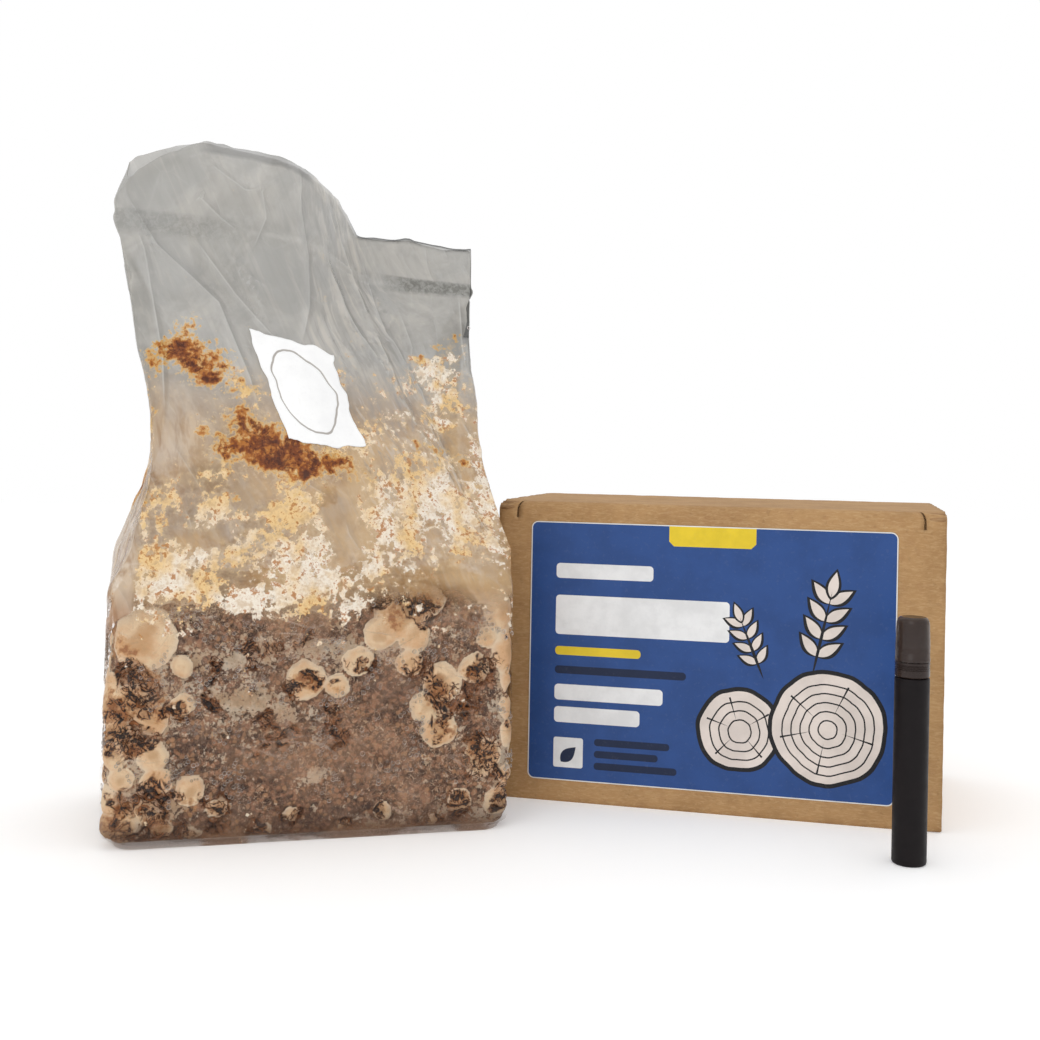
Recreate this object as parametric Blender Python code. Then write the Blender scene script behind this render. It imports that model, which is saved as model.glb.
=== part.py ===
"""A shiitake grow kit: a colonised sawdust block in its filter bag, its mailer carton and mist bottle.

Metres, +Z up. The kit stands on the floor at z = 0, and its origin is under the middle of its bounding box.
"""

import math
import random

import bmesh
import bpy
import numpy as np
from mathutils import Matrix, Vector

MM = 0.001
GAP = 0.3 * MM

# Where each thing stands, in a plan frame that is centred on the whole kit at the end
BAG_CENTRE = (-108.0 * MM, 71.0 * MM)
BAG_TURN = math.radians(14.4)
CARTON_FRONT_RIGHT = (214.0 * MM, 49.0 * MM)
CARTON_TURN = math.radians(-13.7)
BOTTLE_CENTRE = (183.4 * MM, 1.5 * MM)

# The bag: widths run along a, depths along b towards the back, both from the block's middle
BAG_HALF_WIDTH = 100.0 * MM
BAG_HALF_DEPTH = 56.0 * MM
BAG_FOOT_RADIUS = 9.0 * MM
BAG_FOOT_END_INSET = 9.0 * MM
BAG_FOOT_SIDE_INSET = 3.0 * MM
BAG_CORNER_RADIUS = 14.0 * MM
BAG_BELLY_HEIGHT = 60.0 * MM
BAG_RIGHT_SIDE_SHARE = 0.97
FILM = 1.0 * MM
LIP_FILM = 0.8 * MM
SEAL_THICKNESS = 2.4 * MM
MOUTH_OPENING = 5.0 * MM

# The block inside it
BLOCK_HALF_WIDTH = 96.0 * MM
BLOCK_HALF_DEPTH = 52.2 * MM
BLOCK_TOP = 119.0 * MM
BLOCK_EDGE_RADIUS = 13.0 * MM
BLOCK_BOTTOM = FILM + GAP
BLOCK_TOP_TAPER = 0.955
BLOCK_RANDOM_LUMPS = 110
BLOCK_SEED = 7

# The filter patch on the bag's front
PATCH_THICKNESS = 0.5 * MM
PATCH_CLEARANCE = GAP + 0.5 * MM
HOLE_CORNER_SHARE = 0.75

# The carton: a one-piece corrugated mailer that stands on its tuck edge, with the lid to the front
CARTON_WIDTH = 231.0 * MM
CARTON_DEPTH = 125.0 * MM
CARTON_HEIGHT = 160.0 * MM
BOARD = 3.0 * MM
LID_SEAM = 0.8 * MM
LID_FOLD_RADIUS = 5.0 * MM
TUCK_LENGTH = 42.0 * MM
TUCK_SIDE_CLEARANCE = 2.0 * MM
SLIT_FROM_END = 9.0 * MM
SLIT_START = 0.8 * MM
SLIT_WIDTH = 1.4 * MM
SLIT_SLANT = 4.0 * MM
SLIT_LENGTH = 8.0 * MM
LABEL_WIDTH = 189.5 * MM
LABEL_HEIGHT = 138.0 * MM
LABEL_FROM_RIGHT = 23.2 * MM
LABEL_FROM_TOP = 10.6 * MM
LABEL_THICKNESS = 0.3 * MM
LABEL_CORNER = 3.5 * MM

# The mist bottle
BOTTLE_RADIUS = 7.9 * MM
BOTTLE_WALL = 1.1 * MM
BOTTLE_BODY_HEIGHT = 86.0 * MM
COLLAR_TOP = 97.5 * MM
CAP_TOP = 114.0 * MM
TURNED_SIDES = 28


# Curves and meshes

def blend_knots(knots, at):
    """A Catmull-Rom curve through evenly spaced knots, read at a position counted in knots."""
    knots = np.asarray(knots, float)
    last = len(knots) - 1
    i = min(int(at), last - 1)
    t = at - i
    before, start = knots[max(i - 1, 0)], knots[i]
    end, after = knots[i + 1], knots[min(i + 2, last)]
    return 0.5 * (
        2 * start
        + (end - before) * t
        + (2 * before - 5 * start + 4 * end - after) * t * t
        + (3 * start - before - 3 * end + after) * t * t * t
    )


def make_object(name, points, faces, colour, roughness):
    mesh = bpy.data.meshes.new(name)
    mesh.from_pydata([tuple(p) for p in points], [], faces)
    obj = bpy.data.objects.new(name, mesh)
    bpy.context.scene.collection.objects.link(obj)
    finish_material(obj, name, colour, roughness)
    return obj


def finish_material(obj, name, colour, roughness):
    material = bpy.data.materials.new(name)
    material.use_nodes = True
    shader = material.node_tree.nodes["Principled BSDF"]
    shader.inputs["Base Color"].default_value = (*colour, 1.0)
    shader.inputs["Roughness"].default_value = roughness
    shader.inputs["Metallic"].default_value = 0.0
    obj.data.materials.clear()
    obj.data.materials.append(material)


def face_outwards(obj):
    mesh = bmesh.new()
    mesh.from_mesh(obj.data)
    bmesh.ops.recalc_face_normals(mesh, faces=mesh.faces)
    mesh.to_mesh(obj.data)
    mesh.free()


def combine(obj, other, operation):
    """Joins other to obj, or cuts it from obj, and removes other."""
    modifier = obj.modifiers.new("combine", "BOOLEAN")
    modifier.operation = operation
    modifier.solver = "EXACT"
    modifier.object = other
    graph = bpy.context.evaluated_depsgraph_get()
    result = bpy.data.meshes.new_from_object(obj.evaluated_get(graph))
    obj.modifiers.clear()
    obj.data = result
    bpy.data.objects.remove(other)


def ring_band(first, second, count):
    """The quads between two rings of vertices, given the index that each starts at."""
    return [
        (first + i, first + (i + 1) % count, second + (i + 1) % count, second + i)
        for i in range(count)
    ]


def place_on_plan(obj, centre, turn):
    obj.matrix_world = Matrix.Translation((*centre, 0.0)) @ Matrix.Rotation(turn, 4, "Z")


# The bag

# Stations up the bag: 0 foot, 1 foot edge, 2 belly, 3 block top, 4 shoulder, 5 waist, 6 throat,
# 7 seal foot, 8 seal top, 9 lip middle and 10 lip edge. These rows give each line up the bag
# from station 3 on, as (a, b, height) in mm.
FRONT_LEFT = [(-99, -56, 110), (-88, -47, 139), (-80, -31, 195), (-87, -20, 245),
              (-96, -10, 291), (-97.5, -10, 302), (-98.3, -10, 310), (-96.5, -11, 317)]
FRONT_PEAK = [(-46, -55, 112), (-46, -52, 140), (-48, -37, 194), (-51, -23, 246),
              (-53, -14, 288), (-54, -14, 299), (-55, -14.5, 320), (-55, -15, 337)]
FRONT_FOLD = [(12, -55, 112), (8, -51, 140), (-2, -37, 192), (-7, -20, 246),
              (-8, -21, 284), (-8.5, -22, 295), (-9, -23, 312), (-10, -24, 329)]
FRONT_VALLEY = [(86, -53, 112), (80, -38, 146), (57, -14, 202), (43, 5, 249),
                (31, 18, 273), (30, 19, 282), (28, 20, 290), (26, 20, 298)]
FRONT_RIGHT = [(99, -55.5, 112), (97, -40, 137), (86, -14, 190), (84, 3, 245),
               (85, 13, 269), (85.5, 14, 276), (85.6, 15, 285), (85.7, 16, 294)]
BACK_RIGHT = [(98, 56, 112), (93, 45, 137), (84, 34, 190), (84, 24, 245)]
BACK_VALLEY = [(50, 54, 112), (48, 47, 140), (40, 42, 200), (36, 32, 248)]
BACK_FOLD = [(0, 54, 112), (0, 47, 138), (-4, 32, 195), (-5, 8, 246)]
BACK_PEAK = [(-48, 54, 112), (-48, 46, 138), (-46, 24, 195), (-50, -1, 246)]
BACK_LEFT = [(-98, 56, 112), (-91, 44, 137), (-84, 18, 195), (-88, -2, 245)]
LEFT_GUSSET = [(-99, 0, 112), (-98, 0, 138), (-76, -6, 195), (-74, -11, 245),
               (-96.8, -9, 291), (-98.3, -9, 302), (-99.1, -8.4, 310.5), (-97.3, -8, 320)]
RIGHT_GUSSET = [(96.5, 0, 112), (91, 0, 138), (72, 10, 192), (68, 14, 245),
                (85.8, 14.2, 269), (86.3, 15.2, 276), (86.4, 16.8, 285), (86.5, 19, 293)]
PANEL_STEPS = 16
GUSSET_STEPS = 8
RING_COUNT = 2 * (PANEL_STEPS + GUSSET_STEPS)
BAG_STATIONS = [0, 0.35, 1, 1.6, 2.4, 3, 3.35, 3.7, 4, 4.4, 4.8,
                5.15, 5.45, 5.75, 6.1, 6.4, 7, 8, 9, 10]
HEADSPACE_TOP_STATION = 6.4
GROOVE_STATIONS = [10, 9, 8.3]
# The filter hole takes two columns of the front, from this one on, and two rows
HOLE_COLUMN = 7
HOLE_STATIONS = [5.15, 5.45, 5.75]
# How much higher the back lip stands than the front one along the mouth, left to right
BACK_LIP_RISE = (10.0 * MM, 1.0 * MM, 0.0, 0.0, 0.0)
# The widths, as shares of the block's half width, that the front and back lines start from
FRONT_SHARES = (-1.0, -0.48, 0.14, 0.84, 1.0)
BACK_SHARES = (1.0, 0.5, 0.0, -0.48, -1.0)


def block_rail(width_share, side):
    """The stations beside the block: its foot, the edge over the foot's round and its belly."""
    a = BAG_HALF_WIDTH * width_share
    b = BAG_HALF_DEPTH * side
    end = 1.0 if abs(width_share) >= BAG_RIGHT_SIDE_SHARE else 0.0
    foot_a = a - math.copysign(BAG_FOOT_END_INSET, a) * end
    foot_b = b - side * BAG_FOOT_SIDE_INSET
    return [
        (foot_a, foot_b, 0.0),
        (a, b, BAG_FOOT_RADIUS),
        (a, b, BAG_BELLY_HEIGHT),
    ]


def sealed_back(front, rise):
    """A back line above the seal's foot: it lies behind its front line and parts from it at the mouth."""
    part = (SEAL_THICKNESS, SEAL_THICKNESS, 0.6 * MOUTH_OPENING + SEAL_THICKNESS,
            MOUTH_OPENING + SEAL_THICKNESS)
    lift = (0.0, 0.0, 0.4 * rise, rise)
    return [
        (a * MM, b * MM + gap, z * MM + up)
        for (a, b, z), gap, up in zip(front[4:], part, lift)
    ]


def bag_line(width_share, side, knots, above=()):
    return block_rail(width_share, side) + [
        (a * MM, b * MM, z * MM) for a, b, z in knots
    ] + list(above)


def bag_lines():
    """The lines up the bag that its film hangs between: front, right side, back and left side."""
    front_knots = (FRONT_LEFT, FRONT_PEAK, FRONT_FOLD, FRONT_VALLEY, FRONT_RIGHT)
    back_knots = (BACK_RIGHT, BACK_VALLEY, BACK_FOLD, BACK_PEAK, BACK_LEFT)
    front = [bag_line(share, -1, knots) for share, knots in zip(FRONT_SHARES, front_knots)]
    back = [
        bag_line(share, 1, knots, sealed_back(before, rise))
        for share, knots, before, rise in zip(
            BACK_SHARES, back_knots, reversed(front_knots), reversed(BACK_LIP_RISE)
        )
    ]
    right = bag_line(BAG_RIGHT_SIDE_SHARE, 0, RIGHT_GUSSET)
    left = bag_line(-1.0, 0, LEFT_GUSSET)
    return front, right, back, left


def rounded_in_plan(ring, radius):
    """A ring about the block with its vertical edges rounded."""
    half = np.abs(ring[ring_corners(), :2]).mean(0)
    core = half - radius
    unit = np.array([panel_place(i) for i in range(RING_COUNT)])
    full = unit * half
    near = np.clip(full, -core, core)
    out = full - near
    out /= np.linalg.norm(out, axis=1, keepdims=True)
    result = ring.copy()
    result[:, :2] = near + out * radius
    return result


def ring_corners():
    return [0, PANEL_STEPS, PANEL_STEPS + GUSSET_STEPS, RING_COUNT - GUSSET_STEPS]


def panel_place(i):
    """Where ring position i lies on a square from -1 to 1, front left corner first."""
    if i < PANEL_STEPS:
        return read_shares(FRONT_SHARES, i / PANEL_STEPS), -1.0
    i -= PANEL_STEPS
    if i < GUSSET_STEPS:
        return 1.0, -1.0 + 2.0 * i / GUSSET_STEPS
    i -= GUSSET_STEPS
    if i < PANEL_STEPS:
        return read_shares(BACK_SHARES, i / PANEL_STEPS), 1.0
    i -= PANEL_STEPS
    return -1.0, 1.0 - 2.0 * i / GUSSET_STEPS


def read_shares(shares, along):
    at = along * (len(shares) - 1)
    i = min(int(at), len(shares) - 2)
    return shares[i] + (shares[i + 1] - shares[i]) * (at - i)


def bag_section(lines, station):
    """One closed ring of points round the bag at a station, front left corner first."""
    front = np.array([blend_knots(line, station) for line in lines[0]])
    right = blend_knots(lines[1], station)
    back = np.array([blend_knots(line, station) for line in lines[2]])
    left = blend_knots(lines[3], station)
    spans = len(front) - 1
    ring = [blend_knots(front, spans * i / PANEL_STEPS) for i in range(PANEL_STEPS)]
    side = np.array([front[-1], right, back[0]])
    ring += [blend_knots(side, 2 * i / GUSSET_STEPS) for i in range(GUSSET_STEPS)]
    ring += [blend_knots(back, spans * i / PANEL_STEPS) for i in range(PANEL_STEPS)]
    side = np.array([back[-1], left, front[0]])
    ring += [blend_knots(side, 2 * i / GUSSET_STEPS) for i in range(GUSSET_STEPS)]
    ring = np.array(ring)
    boxy = min(1.0, max(0.0, 4.0 - station))
    return ring + (rounded_in_plan(ring, BAG_CORNER_RADIUS) - ring) * boxy


def drawn_in(ring, inset):
    """The ring moved inwards in plan by inset, without changing its heights."""
    along = np.roll(ring, -1, 0) - np.roll(ring, 1, 0)
    inward = np.stack([-along[:, 1], along[:, 0], np.zeros(len(ring))], 1)
    inward /= np.maximum(np.linalg.norm(inward, axis=1, keepdims=True), 1e-9)
    return ring + inward * inset


def across(i):
    """The ring position that lies behind (or before) position i, on the other side of the seal."""
    return (2 * PANEL_STEPS + GUSSET_STEPS - i) % RING_COUNT


def closing_strip(first, upwards):
    """The faces that close a flat ring: strips from the front panel to the back one."""
    pairs = [(i, i + 1) for i in range(PANEL_STEPS + GUSSET_STEPS // 2)]
    pairs += [(-i - 1, -i) for i in range(GUSSET_STEPS // 2)]
    faces = []
    for i, j in pairs:
        i, j = i % RING_COUNT, j % RING_COUNT
        face = []
        for corner in (i, j, across(j), across(i)):
            if first + corner not in face:
                face.append(first + corner)
        faces.append(tuple(face) if upwards else tuple(reversed(face)))
    return faces


def build_bag():
    lines = bag_lines()
    shared = [station for station in BAG_STATIONS if station <= HEADSPACE_TOP_STATION]
    outer = [bag_section(lines, station) for station in BAG_STATIONS]
    lips = [drawn_in(bag_section(lines, station), LIP_FILM) for station in GROOVE_STATIONS]
    inner = [drawn_in(bag_section(lines, station), FILM) for station in shared]
    inner[0] = drawn_in(inner[0], 0.4 * FILM)
    inner[0][:, 2] = FILM

    # The film is one closed skin: outside up to the lips, down into the mouth's groove, and
    # the inside of the headspace, which joins the outside round the filter hole.
    rings = outer + lips
    points = np.concatenate(rings + inner)
    inside = len(rings) * RING_COUNT
    faces = [tuple(reversed(range(RING_COUNT)))]
    hole_rows = [BAG_STATIONS.index(s) for s in HOLE_STATIONS]
    for row in range(len(rings) - 1):
        faces += skin_row(row * RING_COUNT, row, hole_rows)
    faces += closing_strip((len(rings) - 1) * RING_COUNT, True)
    faces.append(tuple(inside + i for i in range(RING_COUNT)))
    for row in range(len(inner) - 1):
        band = skin_row(inside + row * RING_COUNT, row, hole_rows)
        faces += [tuple(reversed(face)) for face in band]
    faces += closing_strip(inside + (len(inner) - 1) * RING_COUNT, False)

    rim = hole_rim(hole_rows)
    centre = points[hole_rows[1] * RING_COUNT + HOLE_COLUMN + 1].copy()
    for row, column in rim:
        if row != hole_rows[1] and column != HOLE_COLUMN + 1:
            for start in (0, inside):
                index = start + row * RING_COUNT + column
                points[index] = centre + (points[index] - centre) * HOLE_CORNER_SHARE
    for (row, column), (next_row, next_column) in zip(rim, rim[1:] + rim[:1]):
        here, there = row * RING_COUNT + column, next_row * RING_COUNT + next_column
        faces.append((here, there, inside + there, inside + here))

    bag = make_object("grow_bag", points, faces, (0.72, 0.71, 0.68), 0.25)
    face_outwards(bag)
    place_on_plan(bag, BAG_CENTRE, BAG_TURN)
    return bag


def skin_row(first, row, hole_rows):
    """The quads of one row of film, without those of the filter hole."""
    faces = ring_band(first, first + RING_COUNT, RING_COUNT)
    if row in hole_rows[:2]:
        faces = [f for i, f in enumerate(faces) if i not in (HOLE_COLUMN, HOLE_COLUMN + 1)]
    return faces


def hole_rim(hole_rows):
    """The grid places (row, column) round the filter hole."""
    low, middle, high = hole_rows
    left, centre, right = HOLE_COLUMN, HOLE_COLUMN + 1, HOLE_COLUMN + 2
    return [
        (low, left), (low, centre), (low, right), (middle, right),
        (high, right), (high, centre), (high, left), (middle, left),
    ]


# The filter patch, given by its corners on the bag's front: (share across the panel, station)
PATCH_CORNERS = {
    "top_left": (0.356, 5.96),
    "top_right": (0.568, 5.78),
    "bottom_left": (0.440, 4.98),
    "bottom_right": (0.596, 4.84),
}
PATCH_GRID = 8


def front_surface(lines, share, station):
    """A point of the bag's outer front, at a share of the panel's width and a station."""
    front = np.array([blend_knots(line, station) for line in lines[0]])
    return blend_knots(front, (len(front) - 1) * share)


def patch_point(lines, u, v):
    """The bag's surface under the patch at (u, v), each from 0 to 1, and its outward normal."""
    c = {name: np.array(corner) for name, corner in PATCH_CORNERS.items()}
    place = (1 - v) * ((1 - u) * c["bottom_left"] + u * c["bottom_right"]) + v * (
        (1 - u) * c["top_left"] + u * c["top_right"]
    )
    here = front_surface(lines, *place)
    step = 0.01
    sideways = front_surface(lines, place[0] + step, place[1]) - here
    upwards = front_surface(lines, place[0], place[1] + step) - here
    normal = np.cross(sideways, upwards)
    return here, normal / np.linalg.norm(normal)


def build_filter_patch():
    lines = bag_lines()
    under, over = [], []
    for j in range(PATCH_GRID + 1):
        for i in range(PATCH_GRID + 1):
            here, normal = patch_point(lines, i / PATCH_GRID, j / PATCH_GRID)
            under.append(here + normal * PATCH_CLEARANCE)
            over.append(here + normal * (PATCH_CLEARANCE + PATCH_THICKNESS))
    row = PATCH_GRID + 1
    top = len(under)
    faces = []
    for j in range(PATCH_GRID):
        for i in range(PATCH_GRID):
            a = j * row + i
            faces.append((a, a + row, a + row + 1, a + 1))
            faces.append((top + a, top + a + 1, top + a + row + 1, top + a + row))
    edge = (
        [i for i in range(row)]
        + [j * row + PATCH_GRID for j in range(1, row)]
        + [PATCH_GRID * row + i for i in reversed(range(PATCH_GRID))]
        + [j * row for j in reversed(range(1, PATCH_GRID))]
    )
    for here, there in zip(edge, edge[1:] + edge[:1]):
        faces.append((here, there, top + there, top + here))
    patch = make_object("filter_patch", under + over, faces, (0.93, 0.93, 0.92), 0.8)
    face_outwards(patch)
    place_on_plan(patch, BAG_CENTRE, BAG_TURN)
    return patch


# The block

# The large mycelium domes of the front, in mm: (a, height, radius, rise). Smaller lumps and pits
# lie at random over the sides and the top.
FRONT_DOMES = [
    (-72, 92, 15, 3.4), (-88, 62, 12, 3.0), (-82, 34, 12, 2.8), (-60, 20, 11, 2.6),
    (-52, 44, 9, 2.0), (-8, 84, 10, 2.8), (12, 80, 9, 2.6), (30, 90, 9, 2.4),
    (46, 98, 13, 3.2), (62, 92, 12, 3.0), (66, 72, 10, 2.8), (72, 56, 11, 3.0),
    (84, 84, 12, 3.0), (88, 48, 11, 2.8), (80, 26, 10, 2.6), (36, 22, 8, 2.0),
]
BLOCK_GRID = (22, 12, 13)


def lumps_of_block():
    """Centre, radius and rise of every lump on the block's sides and top, in metres."""
    lumps = [
        (np.array([a * MM, -BLOCK_HALF_DEPTH, z * MM]), r * MM, rise * MM)
        for a, z, r, rise in FRONT_DOMES
    ]
    rng = random.Random(BLOCK_SEED)
    for _ in range(BLOCK_RANDOM_LUMPS):
        side = rng.choice(("front", "back", "back", "left", "right", "top", "top"))
        a = rng.uniform(-0.92, 0.92) * BLOCK_HALF_WIDTH
        b = rng.uniform(-0.9, 0.9) * BLOCK_HALF_DEPTH
        z = rng.uniform(8 * MM, 112 * MM)
        if side == "front":
            b = -BLOCK_HALF_DEPTH
        elif side == "back":
            b = BLOCK_HALF_DEPTH
        elif side == "left":
            a = -BLOCK_HALF_WIDTH
        elif side == "right":
            a = BLOCK_HALF_WIDTH
        else:
            z = BLOCK_TOP
        lumps.append((np.array([a, b, z]), rng.uniform(6, 12) * MM, rng.uniform(-1.6, 2.4) * MM))
    return lumps


def block_form(unit):
    """A point of the plain loaf and its outward normal, for a point on the cube from -1 to 1."""
    half_height = 0.5 * (BLOCK_TOP - BLOCK_BOTTOM)
    half = np.array([BLOCK_HALF_WIDTH, BLOCK_HALF_DEPTH, half_height])
    core = half - BLOCK_EDGE_RADIUS
    full = unit * half
    inner = np.clip(full, -core, core)
    normal = full - inner
    normal = normal / np.linalg.norm(normal)
    point = inner + normal * BLOCK_EDGE_RADIUS
    rise = (point[2] + half_height) / (2 * half_height)
    narrow = 1 - (1 - BLOCK_TOP_TAPER) * max(0.0, rise - 0.4) / 0.6
    point[0] *= narrow if point[0] < 0 else 0.5 + 0.5 * narrow
    point[1] *= narrow
    point[2] += half_height + BLOCK_BOTTOM
    return point, normal


def build_block():
    lumps = lumps_of_block()
    mesh = bmesh.new()
    grid = {}

    def vertex(unit):
        key = tuple(round(c, 6) for c in unit)
        if key not in grid:
            point, normal = block_form(np.array(unit))
            push = 0.0
            for centre, radius, rise in lumps:
                away = np.linalg.norm(point - centre) / radius
                if away < 1.6:
                    push += rise * math.exp(-1.6 * away ** 4)
            push = max(-2.0 * MM, min(2.4 * MM, push)) * min(1.0, point[2] / (9 * MM))
            if normal[2] < -0.5:
                push = 0.0
            grid[key] = mesh.verts.new(point + normal * push)
        return grid[key]

    for axis in range(3):
        others = [k for k in range(3) if k != axis]
        steps_u, steps_v = BLOCK_GRID[others[0]], BLOCK_GRID[others[1]]
        for side in (-1.0, 1.0):
            for i in range(steps_u):
                for j in range(steps_v):
                    corners = []
                    for di, dj in ((0, 0), (1, 0), (1, 1), (0, 1)):
                        unit = [0.0, 0.0, 0.0]
                        unit[axis] = side
                        unit[others[0]] = -1 + 2 * (i + di) / steps_u
                        unit[others[1]] = -1 + 2 * (j + dj) / steps_v
                        corners.append(vertex(unit))
                    mesh.faces.new(corners)
    bmesh.ops.recalc_face_normals(mesh, faces=mesh.faces)
    data = bpy.data.meshes.new("fruiting_block")
    mesh.to_mesh(data)
    mesh.free()
    block = bpy.data.objects.new("fruiting_block", data)
    bpy.context.scene.collection.objects.link(block)
    finish_material(block, "fruiting_block", (0.52, 0.38, 0.27), 0.75)
    place_on_plan(block, BAG_CENTRE, BAG_TURN)
    return block


# The carton, in its own frame: x from its front right edge leftwards is negative, y runs back

def arc(centre, radius, start_degrees, end_degrees, steps):
    """Points along an arc in a flat view, from one angle to another."""
    points = []
    for i in range(steps + 1):
        angle = math.radians(start_degrees + (end_degrees - start_degrees) * i / steps)
        points.append((centre[0] + radius * math.cos(angle), centre[1] + radius * math.sin(angle)))
    return points


def extruded(name, outline, x_low, x_high, colour=(0.60, 0.43, 0.27)):
    """A solid with this outline of (y, z) points, between two x values."""
    count = len(outline)
    points = [(x, y, z) for x in (x_low, x_high) for y, z in outline]
    faces = [tuple(range(count)), tuple(reversed(range(count, 2 * count)))]
    faces += ring_band(0, count, count)
    solid = make_object(name, points, faces, colour, 0.85)
    face_outwards(solid)
    return solid


def rectangle(y_low, y_high, z_low, z_high):
    return [(y_low, z_low), (y_high, z_low), (y_high, z_high), (y_low, z_high)]


def build_carton():
    top, back = CARTON_HEIGHT, CARTON_DEPTH
    fold = LID_FOLD_RADIUS
    fold_centre = (fold, top - fold)
    # The board's run in side view: up the lid, over the top fold, along the top wall,
    # down the back and along the bottom wall to the lid's seam.
    wrap = (
        [(0.0, 0.0)]
        + arc(fold_centre, fold, 180, 90, 5)
        + [(back, top), (back, 0.0), (BOARD + LID_SEAM, 0.0), (BOARD + LID_SEAM, BOARD)]
        + [(back - BOARD, BOARD), (back - BOARD, top - BOARD)]
        + arc(fold_centre, fold - BOARD, 90, 180, 3)
        + [(BOARD, 0.0)]
    )
    carton = extruded("mailer_carton", wrap, -CARTON_WIDTH, 0.0)
    overlap = 0.5 * BOARD
    side = rectangle(BOARD + LID_SEAM, back - overlap, overlap, top - overlap)
    for name, x_low in (("left_wall", -CARTON_WIDTH), ("right_wall", -2 * BOARD)):
        combine(carton, extruded(name, side, x_low, x_low + 2 * BOARD), "UNION")
    tuck_low = BOARD + LID_SEAM
    tuck = rectangle(overlap, TUCK_LENGTH, tuck_low, tuck_low + BOARD)
    inside = 2 * BOARD + TUCK_SIDE_CLEARANCE
    combine(carton, extruded("tuck_flap", tuck, inside - CARTON_WIDTH, -inside), "UNION")
    for end in (-1, 1):
        combine(carton, fold_slit(end), "DIFFERENCE")
    place_on_plan(carton, CARTON_FRONT_RIGHT, CARTON_TURN)
    return carton


def fold_slit(end):
    """The slanting relief slit near one end of the lid's fold: end is -1 on the left, 1 on the right."""
    corner_x = 0.0 if end > 0 else -CARTON_WIDTH
    plan = [
        (corner_x - end * x, y)
        for x, y in (
            (SLIT_FROM_END, SLIT_START),
            (SLIT_FROM_END + SLIT_WIDTH, SLIT_START),
            (SLIT_FROM_END + SLIT_WIDTH + SLIT_SLANT, SLIT_START + SLIT_LENGTH),
            (SLIT_FROM_END + SLIT_SLANT, SLIT_START + SLIT_LENGTH),
        )
    ]
    heights = (CARTON_HEIGHT - BOARD - MM, CARTON_HEIGHT + MM)
    points = [(x, y, z) for z in heights for x, y in plan]
    faces = [(0, 1, 2, 3), (7, 6, 5, 4)] + ring_band(0, 4, 4)
    cutter = make_object("fold_slit", points, faces, (1, 1, 1), 1.0)
    face_outwards(cutter)
    return cutter


def build_label():
    """The sticker on the lid, with rounded corners."""
    x_low, x_high = -LABEL_FROM_RIGHT - LABEL_WIDTH, -LABEL_FROM_RIGHT
    z_high = CARTON_HEIGHT - LABEL_FROM_TOP
    z_low = z_high - LABEL_HEIGHT
    r = LABEL_CORNER
    outline = []
    for x, z, start in (
        (x_high - r, z_high - r, 0), (x_low + r, z_high - r, 90),
        (x_low + r, z_low + r, 180), (x_high - r, z_low + r, 270),
    ):
        outline += arc((x, z), r, start, start + 90, 4)
    near, far = -GAP - LABEL_THICKNESS, -GAP
    count = len(outline)
    points = [(x, y, z) for y in (near, far) for x, z in outline]
    faces = [tuple(range(count)), tuple(reversed(range(count, 2 * count)))]
    faces += ring_band(0, count, count)
    label = make_object("carton_label", points, faces, (0.03, 0.09, 0.28), 0.35)
    face_outwards(label)
    place_on_plan(label, CARTON_FRONT_RIGHT, CARTON_TURN)
    return label


# The mist bottle

def turned(name, profile, colour, roughness, closed=False):
    """A solid of revolution from a profile of (radius, height), which ends on the axis or is closed."""
    points, faces, rings = [], [], []
    for radius, height in profile:
        if radius < 1e-9:
            rings.append([len(points)])
            points.append((0.0, 0.0, height))
            continue
        rings.append(list(range(len(points), len(points) + TURNED_SIDES)))
        for k in range(TURNED_SIDES):
            angle = 2 * math.pi * k / TURNED_SIDES
            points.append((radius * math.cos(angle), radius * math.sin(angle), height))
    if closed:
        rings.append(rings[0])
    for low, high in zip(rings, rings[1:]):
        if len(low) == 1 and len(high) == 1:
            continue
        for k in range(TURNED_SIDES):
            n = (k + 1) % TURNED_SIDES
            if len(low) == 1:
                faces.append((low[0], high[n], high[k]))
            elif len(high) == 1:
                faces.append((low[k], low[n], high[0]))
            else:
                faces.append((low[k], low[n], high[n], high[k]))
    solid = make_object(name, points, faces, colour, roughness)
    face_outwards(solid)
    place_on_plan(solid, BOTTLE_CENTRE, 0.0)
    return solid


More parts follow.
